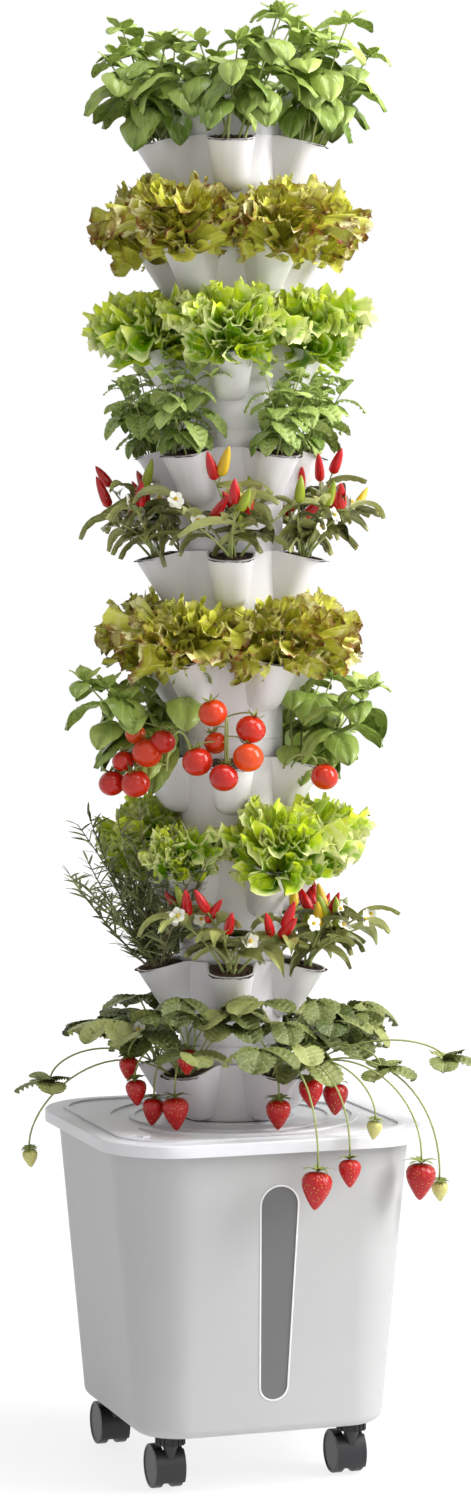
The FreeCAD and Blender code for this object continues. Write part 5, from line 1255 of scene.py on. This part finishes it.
herb_tier(10, BASIL, 6, basil_leaf, "basil")
lettuce_tier(9, BRONZE_LETTUCE, bronze_lettuce_leaf, "red_lettuce_upper")
lettuce_tier(8, GREEN_LETTUCE, green_lettuce_leaf, "green_lettuce_upper")
herb_tier(7, MINT, 7, mint_leaf, "mint")
pepper_tier(6, range(POCKETS), "chili")
lettuce_tier(5, BRONZE_LETTUCE, bronze_lettuce_leaf, "red_lettuce_lower")
herb_tier(4, SHORT_BASIL, 6, basil_leaf, "lower_basil", pockets=(1, 2, 3, 4))
tomatoes(4, 44, "tomato")
lettuce_tier(3, GREEN_LETTUCE, green_lettuce_leaf, "green_lettuce_lower",
             young=(4,))
pepper_tier(2, (0, 1, 2), "lower_chili")
rosemary(2, 22, (3, 4), "rosemary")
strawberries(1, 1, "strawberry")


# Floor, light and camera. The floor's emission clears it to white between two distances from the
# tower, so the shadow near it stays.
FLOOR_REACH = 12.0
SHADOW_FROM = 0.3
SHADOW_TO = 1.3
SHADOW_CLEARED = 0.74
FLOOR_GLOW = 1.1
WORLD_LIGHT = 0.33


def background_rays(tree):
    """The Light Path node, and one for rays from the camera or off a glossy surface."""
    seen = add(tree, "ShaderNodeLightPath")
    rays = {0: seen.outputs["Is Camera Ray"], 1: seen.outputs["Is Glossy Ray"]}
    return seen, add(tree, "ShaderNodeMath", rays, operation="MAXIMUM")


def studio():
    """A pale floor that keeps the shadow, and a world that shows white and lights evenly."""
    corners = np.array([(-1, -1, 0), (1, -1, 0), (1, 1, 0), (-1, 1, 0)]) * FLOOR_REACH
    material, tree, shader = new_material("painted_floor", Roughness=0.6)
    out = next(n for n in tree.nodes if n.type == "OUTPUT_MATERIAL")
    shown = background_rays(tree)[1]
    where = add(tree, "ShaderNodeTexCoord").outputs["Object"]
    far = add(tree, "ShaderNodeVectorMath", {0: where}, operation="LENGTH").outputs["Value"]
    cleared = add(tree, "ShaderNodeMapRange", {"Value": far, "From Min": SHADOW_FROM,
                                               "From Max": SHADOW_TO, "To Min": SHADOW_CLEARED,
                                               "To Max": 1.0})
    share = add(tree, "ShaderNodeMath", {0: shown, 1: cleared}, operation="MULTIPLY")
    glow = add(tree, "ShaderNodeEmission", {"Color": linear("#ffffff"), "Strength": FLOOR_GLOW})
    mixed = add(tree, "ShaderNodeMixShader", {0: share, 1: shader, 2: glow})
    feed(tree, shader, {"Base Color": linear("#f4f4f4")})
    feed(tree, out, {"Surface": mixed})
    floor = build("studio_floor", corners, np.arange(4), np.array([0]), material)

    world = bpy.data.worlds.new("studio_world")
    bpy.context.scene.world = world
    world.use_nodes = True
    tree = world.node_tree
    ground = next(n for n in tree.nodes if n.type == "BACKGROUND")
    seen, rays = background_rays(tree)
    rays = add(tree, "ShaderNodeMath", {0: rays, 1: seen.outputs["Is Transmission Ray"]},
               operation="MAXIMUM")
    strength = add(tree, "ShaderNodeMapRange",
                   {"Value": rays, "To Min": WORLD_LIGHT, "To Max": 1.0})
    feed(tree, ground, {"Color": linear("#ffffff"), "Strength": strength})


def softbox(name, place, aim, wide, high, power):
    """A rectangular lamp that faces a point."""
    data = bpy.data.lights.new(name, "AREA")
    data.shape = "RECTANGLE"
    data.size = wide
    data.size_y = high
    data.energy = power
    lamp = bpy.data.objects.new(name, data)
    bpy.context.scene.collection.objects.link(lamp)
    way = np.array(aim) - np.array(place)
    lamp.location = place
    lamp.rotation_euler = (math.atan2(math.hypot(way[0], way[1]), -way[2]), 0,
                           math.atan2(-way[0], way[1]))


def photo_camera():
    """The photograph's viewpoint: 4.2 m off, 18.5 degrees to the left of the front, level with the
    middle tiers and tilted a little down."""
    distance, height, pitch, yaw = 4.21, 1.060, 3.2, 0.07
    sensor, focal_pixels, picture_rows = 36, 3680.2, 1500
    data = bpy.data.cameras.new("photo_camera")
    data.sensor_width = sensor
    data.lens = sensor * focal_pixels / picture_rows
    camera = bpy.data.objects.new("photo_camera", data)
    bpy.context.scene.collection.objects.link(camera)
    camera.location = TOWARD * distance + UP * height
    camera.rotation_euler = (math.radians(90 - pitch), 0, -math.radians(CAMERA_AZIMUTH + yaw))
    bpy.context.scene.camera = camera


studio()
# Lamps: place and aim in metres, width, height and watts
softbox("key_softbox", (2.5, -1.5, 2.2), (0, 0, 0.9), 1.2, 2.4, 122)
softbox("front_softbox", (0.2, -3.9, 2.2), (0, 0, 1.0), 1.8, 2.2, 15)
softbox("fill_softbox", (-3.2, -2.2, 1.6), (0, 0, 0.8), 1.6, 2.4, 4)
softbox("top_softbox", (0.6, -0.8, 4.0), (0, 0, 1.0), 1.8, 1.8, 70)
photo_camera()

bpy.context.scene.view_settings.view_transform = "Standard"
